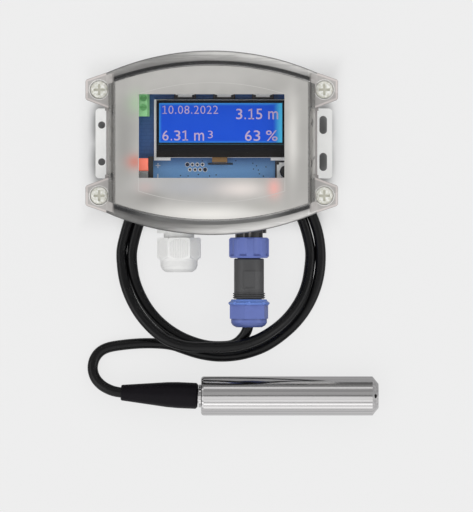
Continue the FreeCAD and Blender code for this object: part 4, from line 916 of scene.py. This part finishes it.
        # Painted shade: the left strip darker than the right.
        tone = net.mix(net.below(x, 0.0), (0.58, 0.56, 0.53), (0.34, 0.33, 0.31))
        marks = net.noise(1.0, 3.0, (0.5, 0.16, 0.4))
        tone = net.mix(net.smooth(marks, 0.52, 0.68), tone, (0.12, 0.12, 0.12))
        return net.mix(net.smooth(up, *self.STRIP_END), tone, (0.64, 0.6, 0.575))

    def ear_tone(self, net, side, up):
        """A frosted ear, pale border, painted shade on its edge, painted light in its screw's seat."""
        tone = net.mix(net.noise(0.35, 3.0), (0.4, 0.384, 0.37), (0.52, 0.5, 0.484))
        inset = self.ear_edge(net, side, up)
        tone = net.mix(net.smooth(inset, -1.5, -1.0), tone, (0.66, 0.61, 0.59))
        # Painted shade: a dark line along the ear's edge.
        tone = net.mix(net.smooth(inset, -0.35, -0.1), tone, (0.34, 0.32, 0.31))
        # Painted light in the screw's seat.
        seat = net.squares(net.minus(side, self.SEAT[0]), net.minus(up, self.SEAT[1]))
        return net.mix(net.below(seat, self.SEAT_SQUARE), tone, (0.95, 0.94, 0.92))

    def ear_edge(self, net, side, up):
        """How far a place is outside an ear's outline, in millimetres."""
        top, top_lean, top_rise = self.EAR_TOP
        foot, foot_lean, foot_rise = self.EAR_FOOT
        reach = net.minus(side, self.EAR_TIP)
        over = net.plus(net.times(reach, top_lean), net.times(net.minus(up, top), top_rise))
        under = net.minus(net.times(reach, foot_lean), net.times(net.minus(up, foot), foot_rise))
        return net.most(reach, over, under)

    def beyond_arch(self, net, x, y, radius, apex):
        """How far a place is outside an arch, in millimetres."""
        square = net.squares(x, net.plus(y, radius - apex))
        return net.minus(net.maths("SQRT", square), radius)

    def film(self, film):
        """Frosted film with the lights and shades of what is behind it."""
        net = Finish("frosted film")
        x, y = net.axes("XY")
        cloud = net.smooth(net.noise(0.05, 2.0), 0.3, 0.7)
        colour = net.mix(cloud, toned(film, 0.92), toned(film, 1.1))
        for at_x, at_y, reach_x, reach_y, tint, share in self.GLOWS:
            across = net.over(net.minus(x, at_x), reach_x)
            along = net.over(net.minus(y, at_y), reach_y)
            glow = net.maths("POWER", self.GLOW_EDGE, net.squares(across, along))
            colour = net.mix(net.times(glow, share), colour, tint)
        fine = net.noise(5.0, 2.0)
        colour = net.mix(net.times(fine, 0.08), colour, (0.8, 0.8, 0.8))
        rough = net.plus(0.42, net.times(fine, 0.16))
        return net.done(Base_Color=colour, Roughness=rough, Normal=net.bump(fine, 0.25, 0.02))


class SENSOR_OT_display(bpy.types.Operator):
    """Makes the lit field, its digits and the glass round it"""

    bl_idname = "sensor.display"
    bl_label = "Display"

    # The lit field, the rule below it and the digits, in millimetres: corners, thickness and edges.
    FIELD = ((-28.9, 0.1), (38.7, 21.8))
    FIELD_RISE = 0.12
    FIELD_BORDER = 0.25
    FIELD_SINK = -0.04
    RULE = ((-29.6, -0.95), (39.4, -0.65))
    RULE_RISE = 0.08
    RULE_BEVEL = 0.03
    DIGIT_LEVEL = 0.1
    DIGIT_RISE = 0.06
    DIGIT_BEVEL = 0.02

    # What is shown, as a setting and the box it fills, in millimetres, with its weight.
    LINES = {
        "date": (-27.1, 3.5, 15.9, 20.35, -0.008),
        "level": (13.4, 36.5, 12.9, 18.7, 0.004),
        "volume": (-27.1, -4.2, 1.2, 6.8, 0.004),
        "power": (-2.1, 0.6, 2.5, 6.6, -0.008),
        "share": (18.3, 36.2, 1.0, 6.8, 0.004),
    }

    # Step to the next letter, and each letter's box (left, right, low, high), as shares of the type size.
    STEPS = {"0": 0.636, ".": 0.318, " ": 0.318, "m": 0.974, "%": 0.95}
    INKS = {
        "0": (0.07, 0.566, 0.0, 0.73),
        "1": (0.1, 0.55, 0.0, 0.73),
        ".": (0.1, 0.215, 0.0, 0.125),
        " ": (0.0, 0.318, 0.0, 0.73),
        "m": (0.09, 0.886, 0.0, 0.56),
        "%": (0.04, 0.91, 0.0, 0.73),
    }

    # The figure one: its strokes where bold and where thin as shares of its height, its stem's place as a
    # share of its width, its foot's height as a share of the stroke, its flag's drop as one of its height.
    ONE_BOLD = 0.13
    ONE_THIN = 0.1
    ONE_STEM = 0.54
    ONE_FOOT = 0.85
    ONE_FLAG = 0.12

    def execute(self, context):
        show = context.scene.sensor_display
        top = top_of("display_glass")
        field = slab("display_field", (*self.FIELD[0], top), (*self.FIELD[1], top + self.FIELD_RISE))
        inset_top(field, self.FIELD_BORDER, self.FIELD_SINK)
        finish_piece(field, self.lit_field(show), "sensor")
        rule = slab("display_rule", (*self.RULE[0], top), (*self.RULE[1], top + self.RULE_RISE))
        soften(rule, self.RULE_BEVEL)
        finish_piece(rule, grained("display rule", (0.02, 0.09, 0.11), 0.25, 0.1), "sensor")
        level = top + self.DIGIT_LEVEL
        digits = [self.line(getattr(show, key), box, level) for key, box in self.LINES.items()]
        digits = joined("display_digits", digits)
        finish_piece(digits, self.glow(show), "sensor")
        dress(self.glass(), "display_glass")
        dress(grained("backlight frame", (0.95, 0.95, 0.96), 0.4), "display_frame")
        return {"FINISHED"}

    def line(self, text, box, level):
        """One line of digits, letter by letter in even steps, in the box it has on the display."""
        left, right, low, high, weight = box
        steps = [self.STEPS.get(letter, self.STEPS["0"]) for letter in text]
        inks = [self.INKS.get(letter, self.INKS["0"]) for letter in text]
        first = inks[0][0]
        whole = sum(steps[:-1]) + inks[-1][1] - first
        across = (right - left) / whole
        along = (high - low) / self.INKS["0"][3]
        letters = []
        at = -first
        for letter, step, ink in zip(text, steps, inks):
            if letter != " ":
                corner = (left + (at + ink[0]) * across, low + ink[2] * along)
                other = (left + (at + ink[1]) * across, low + ink[3] * along)
                letters += self.letter(letter, corner, other, level, weight)
            at += step
        return joined("digits", letters)

    def letter(self, letter, low, high, level, weight):
        """One letter stretched to its own box."""
        if letter == "1":
            return self.one(low, high, level, weight)
        deselect()
        bpy.ops.object.text_add()
        words = bpy.context.object
        words.data.body = letter
        words.data.size = 1.0
        words.data.offset = weight
        words.data.extrude = 0.02
        words.data.resolution_u = 4
        bpy.ops.object.convert(target="MESH")
        words = bpy.context.object
        corners = [vertex.co for vertex in words.data.vertices]
        first = Vector([min(c[axis] for c in corners) for axis in range(3)])
        last = Vector([max(c[axis] for c in corners) for axis in range(3)])
        aim_low = spot(*low, level)
        aim_high = spot(*high, level + self.DIGIT_RISE)
        size = [(b - a) / max(d - c, 1e-9) for a, b, c, d in zip(aim_low, aim_high, first, last)]
        words.scale = size
        words.location = [a - c * s for a, c, s in zip(aim_low, first, size)]
        return [named("digits")]

    def one(self, low, high, level, weight):
        """The figure one: a stem, a foot and a slanting flag."""
        tall = high[1] - low[1]
        stroke = tall * (self.ONE_BOLD if weight > 0 else self.ONE_THIN)
        middle = low[0] + (high[0] - low[0]) * self.ONE_STEM
        roof = level + self.DIGIT_RISE
        stem = slab("digit_stem", (middle - stroke / 2, low[1], level), (middle + stroke / 2, high[1], roof))
        foot = slab("digit_foot", (*low, level), (high[0], low[1] + stroke * self.ONE_FOOT, roof))
        flag = slab("digit_flag", (low[0], high[1] - stroke, level), (middle, high[1], roof))
        with editing(flag):
            pick(flag, "FACE", lambda place, way: way.x < -FACING)
            bpy.ops.transform.translate(value=(0, -self.ONE_FLAG * tall * MM, 0))
        for piece in (stem, foot, flag):
            soften(piece, self.DIGIT_BEVEL)
        return [stem, foot, flag]

    def lit_field(self, show):
        """The lit field, greener towards its edges and most of all on the right."""
        net = Finish("lit field")
        x, y = net.axes("XY")
        right = net.times(net.smooth(x, 33.4, 38.4), 0.95)
        left = net.times(net.smooth(net.times(x, -1.0), 27.2, 29.5), 0.5)
        over = net.times(net.smooth(y, 20.0, 22.2), 0.5)
        under = net.times(net.smooth(net.times(y, -1.0), -1.5, 0.2), 0.35)
        colour = net.mix(net.most(right, left, over, under), show.blue, show.rim)
        colour = net.mix(net.times(net.noise(0.12, 2.0), 0.22), colour, (0.02, 0.12, 0.62))
        return net.done(Base_Color=colour, Emission_Color=colour, Emission_Strength=0.2, Roughness=0.3,
                        Specular_IOR_Level=0.15)

    def glow(self, show):
        """The digits' pale light."""
        net = Finish("lit digits")
        colour = net.mix(net.noise(2.2, 2.0), toned(show.digits, 0.9), toned(show.digits, 1.12))
        return net.done(Base_Color=colour, Emission_Color=colour, Emission_Strength=0.1, Roughness=0.5)

    def glass(self):
        """Black glass, a little browner along its lower strip."""
        net = Finish("display glass")
        y = net.axis("Y")
        cloud = net.noise(1.0, 3.0, (0.06, 0.6, 0.6))
        strip = net.mix(cloud, (0.003, 0.003, 0.004), (0.02, 0.017, 0.015))
        colour = net.mix(net.smooth(y, -8.2, -1.2), strip, (0.004, 0.005, 0.008))
        return net.done(Base_Color=colour, Roughness=0.12, Specular_IOR_Level=0.25)


class SENSOR_OT_board(bpy.types.Operator):
    """Finishes the circuit board, with its plated holes, marks and small parts"""

    bl_idname = "sensor.board"
    bl_label = "Board"

    # Holes with a broad plated ring and with a narrow one: place, outer radius and bore, in millimetres,
    # with how thick the ring is and how far its bore is let down.
    BROAD = (1.1, 0.68)
    NARROW = (1.3, 1.08)
    PAD_RISE = 0.06
    PAD_SINK = -0.045
    HOLES = [
        (-10.7, -11.9, *BROAD),
        (-7.9, -11.9, *BROAD),
        (-5.1, -11.9, *BROAD),
        (-12.0, -14.7, *BROAD),
        (-9.2, -14.7, *BROAD),
        (-6.4, -14.7, *BROAD),
        (-13.4, -11.9, *NARROW),
        (-3.7, -14.7, *NARROW),
    ]
    VIAS = [
        (22.6, -11.2), (24.6, -12.6), (25.6, -14.9), (26.2, -17.0), (28.4, -18.3), (22.9, -14.4),
        (29.8, -13.2), (-17.2, -18.0), (-13.0, -18.2), (-7.4, -17.4), (-1.2, -18.2), (2.4, -17.6),
        (-5.2, -9.9), (13.2, -9.8),
    ]
    VIA_RADIUS = 0.34
    VIA_RISE = 0.04
    VIA_BORDER = 0.1

    # How high the dark disc of painted shade in a hole's bore starts over the board, and corners and
    # thickness of the printed plus and minus.
    BORE_LEVEL = 0.015
    MARKS = {
        "mark_a": ((-30.9, -12.7), (-28.3, -12.2)),
        "mark_b": ((-29.85, -13.7), (-29.35, -11.2)),
        "mark_c": ((-29.9, -19.4), (-29.4, -17.0)),
    }
    MARK_RISE = 0.05
    MARK_BEVEL = 0.02

    def execute(self, context):
        dress(self.solder_mask(finishes().board), "main_board", "probe_board")
        top = top_of("main_board")
        pads = joined("board_pads", [self.pad(number, top, *hole) for number, hole in enumerate(self.HOLES)])
        finish_piece(pads, grained("tinned pad", (0.98, 0.97, 0.95), 0.35), "sensor")
        # Dark discs of painted shade in the vias and in the bores of the plated holes.
        shade_discs = [self.via(number, top, x, y, self.VIA_RADIUS) for number, (x, y) in enumerate(self.VIAS)]
        shade_discs += [self.via(f"bore_{number}", top + self.BORE_LEVEL, x, y, bore)
                 for number, (x, y, radius, bore) in enumerate(self.HOLES)]
        shade_discs = joined("board_vias", shade_discs)
        finish_piece(shade_discs, grained("via", (0.02, 0.03, 0.07), 0.5), "sensor")
        marks = [slab(name, (*low, top), (*high, top + self.MARK_RISE))
                 for name, (low, high) in self.MARKS.items()]
        marks = joined("board_marks", marks)
        soften(marks, self.MARK_BEVEL)
        finish_piece(marks, grained("board print", (0.95, 0.96, 0.97), 0.6), "sensor")
        dress(grained("chip case", (0.02, 0.02, 0.022), 0.5), "controller_chip")
        dress(self.flex(), "display_flex")
        return {"FINISHED"}

    def pad(self, number, top, x, y, radius, bore):
        """A plated hole's ring."""
        ring = drum(f"pad_{number}", (x, y, top + self.PAD_RISE / 2), radius, self.PAD_RISE, 24)
        return inset_top(ring, radius - bore, self.PAD_SINK)

    def via(self, number, top, x, y, radius):
        """A small dark disc, painted shade in a hole."""
        dot = drum(f"via_{number}", (x, y, top + self.VIA_RISE / 2), radius, self.VIA_RISE, 16)
        return inset_top(dot, self.VIA_BORDER)

    def solder_mask(self, board):
        """Blue mask over faint lanes, with painted light towards the board's lower edge."""
        net = Finish("solder mask")
        y = net.axis("Y")
        lanes = net.add("ShaderNodeTexBrick", {"offset": 0.37, "squash": 0.6, "squash_frequency": 3},
                        Vector=net.place(), Scale=0.16, Mortar_Size=0.035, Brick_Width=0.9, Row_Height=0.32)
        lanes = lanes.outputs["Fac"]
        base = net.mix(net.noise(0.08, 3.0), toned(board, 0.75), toned(board, 1.3))
        colour = net.mix(net.times(lanes, 0.3), base, (0.012, 0.06, 0.2))
        # Painted light: paler towards the board's lower edge.
        lower = net.smooth(net.times(y, -1.0), 6.0, 16.0)
        colour = net.mix(net.times(lower, 0.85), colour, (0.24, 0.54, 0.98))
        return net.done(Base_Color=colour, Normal=net.bump(lanes, 0.3, 0.03), Roughness=0.34)

    def flex(self):
        """The amber strip under the display, with its fine tracks."""
        net = Finish("flex strip")
        stripes = net.add("ShaderNodeTexWave", {"wave_type": "BANDS", "bands_direction": "X"},
                          Vector=net.place(), Scale=0.5)
        colour = net.mix(stripes.outputs["Fac"], (0.2, 0.1, 0.03), (0.34, 0.2, 0.07))
        return net.done(Base_Color=colour, Roughness=0.35)


class SENSOR_OT_terminals(bpy.types.Operator):
    """Finishes the terminals, the keys with their rivets and the lamp"""

    bl_idname = "sensor.terminals"
    bl_label = "Terminals and keys"

    KEYS = ("key_left", "key_middle", "key_right", "program_key")

    # A key's rivets in millimetres: how far from its axis along X and Y, radius, height, bevel and dome.
    # Then where its cover's dark border starts and where the lamp is lit.
    RIVET_REACH = 4.5
    RIVET_RADIUS = 0.75
    RIVET_RISE = 0.3
    RIVET_BEVEL = 0.3
    RIVET_DOME = 0.12
    BORDER = (4.85, 5.15)
    LAMP_LIT = (30.6, 33.5)

    def execute(self, context):
        # Painted light: the green terminal and the red bus plug glow a little, though they are no lamps.
        dress(grained("green terminal", (0.34, 0.76, 0.34), 0.35, glow=0.08), "supply_terminal")
        dress(grained("red bus plug", (1.0, 0.23, 0.15), 0.35, glow=0.26), "bus_plug_red")
        dress(grained("grey bus plug", (0.33, 0.34, 0.33), 0.4), "bus_plug_grey")
        dress(grained("black holder", (0.02, 0.02, 0.021), 0.5), "bus_holder", "key_bodies")
        dress(grained("key plunger", (0.025, 0.025, 0.026), 0.4), *self.KEYS)
        dress(self.key_cover(), "key_covers")
        dress(self.lamp(), "program_lamp")
        level = top_of("key_covers")
        sides = (-self.RIVET_REACH, self.RIVET_REACH)
        rivets = []
        for middle in map(self.key_middle, self.KEYS):
            for side_x in sides:
                for side_y in sides:
                    rivets.append(self.rivet(len(rivets), middle.x + side_x, middle.y + side_y, level))
        rivets = joined("key_rivets", rivets)
        finish_piece(rivets, grained("rivet", (0.03, 0.03, 0.032), 0.35), "sensor")
        return {"FINISHED"}

    def key_middle(self, key):
        """Where a key's axis is, in the housing's millimetres."""
        low, high = (Vector(corner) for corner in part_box(key))
        return ((low + high) / 2 - HOUSING) / MM

    def key_cover(self):
        """Pale plated covers, dark round their borders."""
        net = Finish("key cover")
        x, y = net.axes("XY")
        nearest = 100.0
        for middle in map(self.key_middle, self.KEYS):
            away = net.most(net.size(net.minus(x, middle.x)), net.size(net.minus(y, middle.y)))
            nearest = net.maths("MINIMUM", away, nearest)
        pale = net.mix(net.noise(0.4, 2.0), (0.9, 0.9, 0.89), (1.0, 1.0, 0.99))
        colour = net.mix(net.smooth(nearest, *self.BORDER), pale, (0.07, 0.07, 0.075))
        return net.done(Base_Color=colour, Roughness=0.38)

    def rivet(self, number, x, y, z):
        """A domed rivet at a key's corner."""
        middle = (x, y, z + self.RIVET_RISE / 2)
        head = drum(f"rivet_{number}", middle, self.RIVET_RADIUS, self.RIVET_RISE, 16)
        return inset_top(head, self.RIVET_BEVEL, self.RIVET_DOME)

    def lamp(self):
        """Red plastic, lit towards its top."""
        net = Finish("red lamp")
        z = net.axis("Z")
        colour = net.mix(net.smooth(z, *self.LAMP_LIT), (0.3, 0.01, 0.01), (1.0, 0.1, 0.07))
        return net.done(Base_Color=colour, Emission_Color=colour, Emission_Strength=0.8, Roughness=0.2)


class SENSOR_OT_connectors(bpy.types.Operator):
    """Finishes the gland, the socket and the plug"""

    bl_idname = "sensor.connectors"
    bl_label = "Gland and connector"

    # The gland's axis, its flats' distance from it and the ribs on every flat, in millimetres.
    GLAND_X = -18.1
    ENTRY = 14.0
    FLAT = 10.45
    RIB_PITCH = 0.95
    RIB_COUNT = 11
    RIB_HALF = 0.26
    RIB_ROOT = 0.12
    RIB_RISE = 0.28
    RIB_ENDS = (-63.6, -53.0)
    RIB_SHORT = 1.5
    RIB_BEVEL = 0.2
    NUT_FLATS = 6

    # Soft edges in millimetres of painted light and shade: the gland's dome, the clamp nut's flange, its
    # dome and its dark line, and the plug's flat for the hand with the brow over it.
    GLAND_DOME = (-65.5, -63.5)
    CLAMP_FLANGE = (-89.5, -88.7)
    CLAMP_DOME = (-101.2, -96.9)
    CLAMP_SHADE_LINE = (-97.9, -97.4, -97.1, -96.7)
    HAND_WIDTH = (17.7, 18.0, 27.6, 28.0)
    HAND_LENGTH = (-80.7, -80.4, -70.4, -70.1)
    HAND_BROW = (-70.9, -70.5)

    def execute(self, context):
        white = finishes().white
        dress(grained("gland moulding", toned(white, 0.93), 0.4), "gland_body", "gland_lock_nut")
        dress(self.gland_case(white), "gland_nut")
        ribs = grained("gland ribs", toned(white, 0.95), 0.5)
        finish_piece(self.nut_ribs(), ribs, "gland_nut")
        dress(grained("seal rubber", (0.05, 0.05, 0.05), 0.7), "gland_washer", "gland_seal", "socket_gasket",
              "plug_seal", "cell_seal")
        dress(grained("blue ring", finishes().blue, 0.38, 0.08), "coupling_ring")
        dress(self.clamp_case(finishes().blue), "plug_clamp_nut")
        dress(self.plug_case(finishes().grey), "plug_body")
        dress(self.socket_case(), "panel_socket", "socket_nut")
        dress(bright_metal("brass contact", (0.8, 0.62, 0.3), 0.3, (1, 0.1, 1)), "contact_pins")
        dress(grained("wire", (0.3, 0.3, 0.32), 0.5), "socket_wires")
        return {"FINISHED"}

    def gland_case(self, white):
        """White moulding, with painted light on the nut's flats and painted shade on its dome."""
        net = Finish("gland nut moulding")
        y = net.axis("Y")
        cloud = net.noise(0.6, 3.0)
        # Painted shade on the dome, painted light on the flats.
        dome = net.mix(cloud, toned(white, 0.9), toned(white, 0.94))
        flats = net.mix(cloud, toned(white, 1.02), toned(white, 1.08))
        return net.done(Base_Color=net.mix(net.smooth(y, *self.GLAND_DOME), dome, flats), Roughness=0.4)

    def clamp_case(self, blue):
        """Blue moulding: painted highlight on its flange, painted shade on its dome and in a line above it.
        """
        net = Finish("blue clamp")
        y = net.axis("Y")
        colour = net.mix(net.noise(0.6, 3.0), toned(blue, 0.88), toned(blue, 0.98))
        # Painted highlight on the flange, painted shade round the dome and in a line above it.
        colour = net.mix(net.smooth(y, *self.CLAMP_FLANGE), colour, (0.13, 0.23, 0.62))
        colour = net.mix(net.times(net.fade(y, *self.CLAMP_DOME), 0.8), colour, toned(blue, 0.55))
        colour = net.mix(net.times(net.within(y, *self.CLAMP_SHADE_LINE), 0.7), colour, toned(blue, 0.45))
        return net.done(Base_Color=colour, Roughness=0.38)

    def nut_ribs(self):
        """Fine grip ribs on the flats of the gland's nut, modelled on one flat and copied round."""
        ribs = []
        half = (self.RIB_COUNT - 1) / 2
        for number in range(self.RIB_COUNT):
            share = (number - half) / half
            x = self.GLAND_X + share * half * self.RIB_PITCH
            short = self.RIB_SHORT * share * share
            low = (x - self.RIB_HALF, self.RIB_ENDS[0] + short, self.ENTRY + self.FLAT - self.RIB_ROOT)
            high = (x + self.RIB_HALF, self.RIB_ENDS[1] - short, self.ENTRY + self.FLAT + self.RIB_RISE)
            ridge = spot(0, 0, high[2] - 0.05).z
            rib = slab(f"rib_{number}", low, high)
            with editing(rib):
                pick(rib, "EDGE", lambda middle, way: abs(way.y) > FACING and middle.z > ridge)
                bpy.ops.mesh.bevel(offset=self.RIB_BEVEL * MM, segments=3, affect="EDGES")
            ribs.append(rib)
        flat = joined("rib_flat", ribs)
        flats = [flat]
        for turn in range(1, self.NUT_FLATS):
            copy = flat.copy()
            copy.data = flat.data.copy()
            bpy.context.scene.collection.objects.link(copy)
            with editing(copy):
                bpy.ops.mesh.select_all(action="SELECT")
                bpy.ops.transform.rotate(value=math.radians(360 / self.NUT_FLATS * turn), orient_axis="Y",
                                         center_override=spot(self.GLAND_X, 0, self.ENTRY))
            flats.append(copy)
        ribs = joined("gland_nut_ribs", flats)
        only(ribs)
        bpy.ops.object.shade_smooth_by_angle(angle=BEVEL_ANGLE)
        return ribs

    def plug_case(self, grey):
        """Dark grey moulding, painted light on the flat for the hand and painted shade along its brow."""
        net = Finish("dark plug")
        x, y, z = net.axes("XYZ")
        across = net.times(net.within(x, *self.HAND_WIDTH), net.above(z, self.ENTRY))
        along = net.within(y, *self.HAND_LENGTH)
        brow = net.times(along, net.smooth(y, *self.HAND_BROW))
        grain = net.noise(1.2, 3.0)
        colour = net.mix(grain, toned(grey, 0.84), toned(grey, 0.97))
        # Painted light on the flat for the hand, painted shade along its brow.
        colour = net.mix(net.times(across, along), colour, toned(grey, 1.07))
        colour = net.mix(net.times(across, brow), colour, toned(grey, 0.7))
        return net.done(Base_Color=colour, Roughness=net.plus(0.42, net.times(grain, 0.1)))

    def socket_case(self):
        """Black moulding with painted highlights in streaks along it."""
        net = Finish("socket case")
        streaks = net.noise(1.0, 2.0, (0.55, 0.02, 0.55))
        # Painted highlights in streaks along the socket.
        colour = net.mix(net.smooth(streaks, 0.52, 0.68), (0.012, 0.012, 0.013), (0.3, 0.28, 0.27))
        return net.done(Base_Color=colour, Roughness=net.plus(0.3, net.times(streaks, 0.2)))


class SENSOR_OT_probe(bpy.types.Operator):
    """Finishes the steel probe, its cell and its rubber boot"""

    bl_idname = "sensor.probe"
    bl_label = "Probe"

    def execute(self, context):
        steel = bright_metal("drawn steel", finishes().steel, 0.13, (0.004, 0.8, 0.8), 0.22)
        dress(steel, "probe_tube", "probe_nose", "probe_cap")
        dress(grained("boot rubber", (0.006, 0.005, 0.007), 0.45, 0.25, 2.0, 0.03, 0.1), "cable_boot")
        dress(grained("fired ceramic", (0.85, 0.84, 0.8), 0.5), "pressure_cell")
        return {"FINISHED"}


class SENSOR_OT_front_print(bpy.types.Operator):
    """Draws the thin printed line round the window"""

    bl_idname = "sensor.front_print"
    bl_label = "Front print"

    # Half the line's width, the heights of its corners and its arch, and how broad and thick it is.
    HALF = 40.25
    CORNER = 26.7
    APEX = 33.0
    WIDTH = 0.3
    RISE = 0.03

    def execute(self, context):
        deselect()
        bpy.ops.mesh.primitive_grid_add(x_subdivisions=48, y_subdivisions=1, size=1)
        sheet = bpy.context.object
        sheet.scale = (2 * self.HALF * MM, 2 * self.CORNER * MM, 1)
        sheet.location = spot(0, 0, top_of("front_film") + self.RISE)
        line = named("front_line")
        rise = self.APEX - self.CORNER
        radius = (self.HALF ** 2 + rise ** 2) / (2 * rise)
        for vertex in line.data.vertices:
            x = (vertex.co.x - HOUSING.x) / MM
            lift = math.sqrt(radius ** 2 - x ** 2) - (radius - rise)
            vertex.co.y += math.copysign(lift * MM, vertex.co.y - HOUSING.y)
        with editing(line):
            pick(line, "FACE", lambda middle, way: True)
            bpy.ops.mesh.inset(thickness=self.WIDTH * MM)
            bpy.ops.mesh.delete(type="FACE")
            bpy.ops.mesh.select_all(action="SELECT")
            bpy.ops.mesh.extrude_region_move(TRANSFORM_OT_translate={"value": (0, 0, self.RISE * MM)})
            bpy.ops.mesh.select_all(action="SELECT")
            bpy.ops.mesh.normals_make_consistent(inside=False)
        finish_piece(line, grained("front print", (0.56, 0.55, 0.53), 0.5), "sensor")
        return {"FINISHED"}


class SENSOR_PT_panel(bpy.types.Panel):
    """Lists the sensor's settings and steps"""

    bl_label = "Level sensor"
    bl_idname = "SENSOR_PT_panel"
    bl_space_type = "VIEW_3D"
    bl_region_type = "UI"
    bl_category = "Level sensor"

    def draw(self, context):
        layout = self.layout
        for name in GROUPS:
            group = getattr(context.scene, name)
            box = layout.box()
            for key in group.__annotations__:
                box.prop(group, key)
        for step in STEPS:
            layout.operator(step.bl_idname)


GROUPS = {
    "sensor_cable": CableSettings,
    "sensor_display": DisplaySettings,
    "sensor_finish": FinishSettings,
    "sensor_stage": StageSettings,
}
STEPS = (
    SENSOR_OT_stage,
    SENSOR_OT_cable,
    SENSOR_OT_housing,
    SENSOR_OT_display,
    SENSOR_OT_board,
    SENSOR_OT_terminals,
    SENSOR_OT_connectors,
    SENSOR_OT_probe,
    SENSOR_OT_front_print,
)


def register():
    """Registers the settings, the steps and the panel."""
    for name, group in GROUPS.items():
        bpy.utils.register_class(group)
        setattr(bpy.types.Scene, name, bpy.props.PointerProperty(type=group))
    for step in STEPS:
        bpy.utils.register_class(step)
    bpy.utils.register_class(SENSOR_PT_panel)


def unregister():
    """Removes the panel, the steps and the settings."""
    bpy.utils.unregister_class(SENSOR_PT_panel)
    for step in reversed(STEPS):
        bpy.utils.unregister_class(step)
    for name, group in reversed(list(GROUPS.items())):
        delattr(bpy.types.Scene, name)
        bpy.utils.unregister_class(group)


def main():
    """Registers the add-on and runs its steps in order."""
    register()
    for step in STEPS:
        family, name = step.bl_idname.split(".")
        getattr(getattr(bpy.ops, family), name)()


if __name__ == "__main__":
    main()
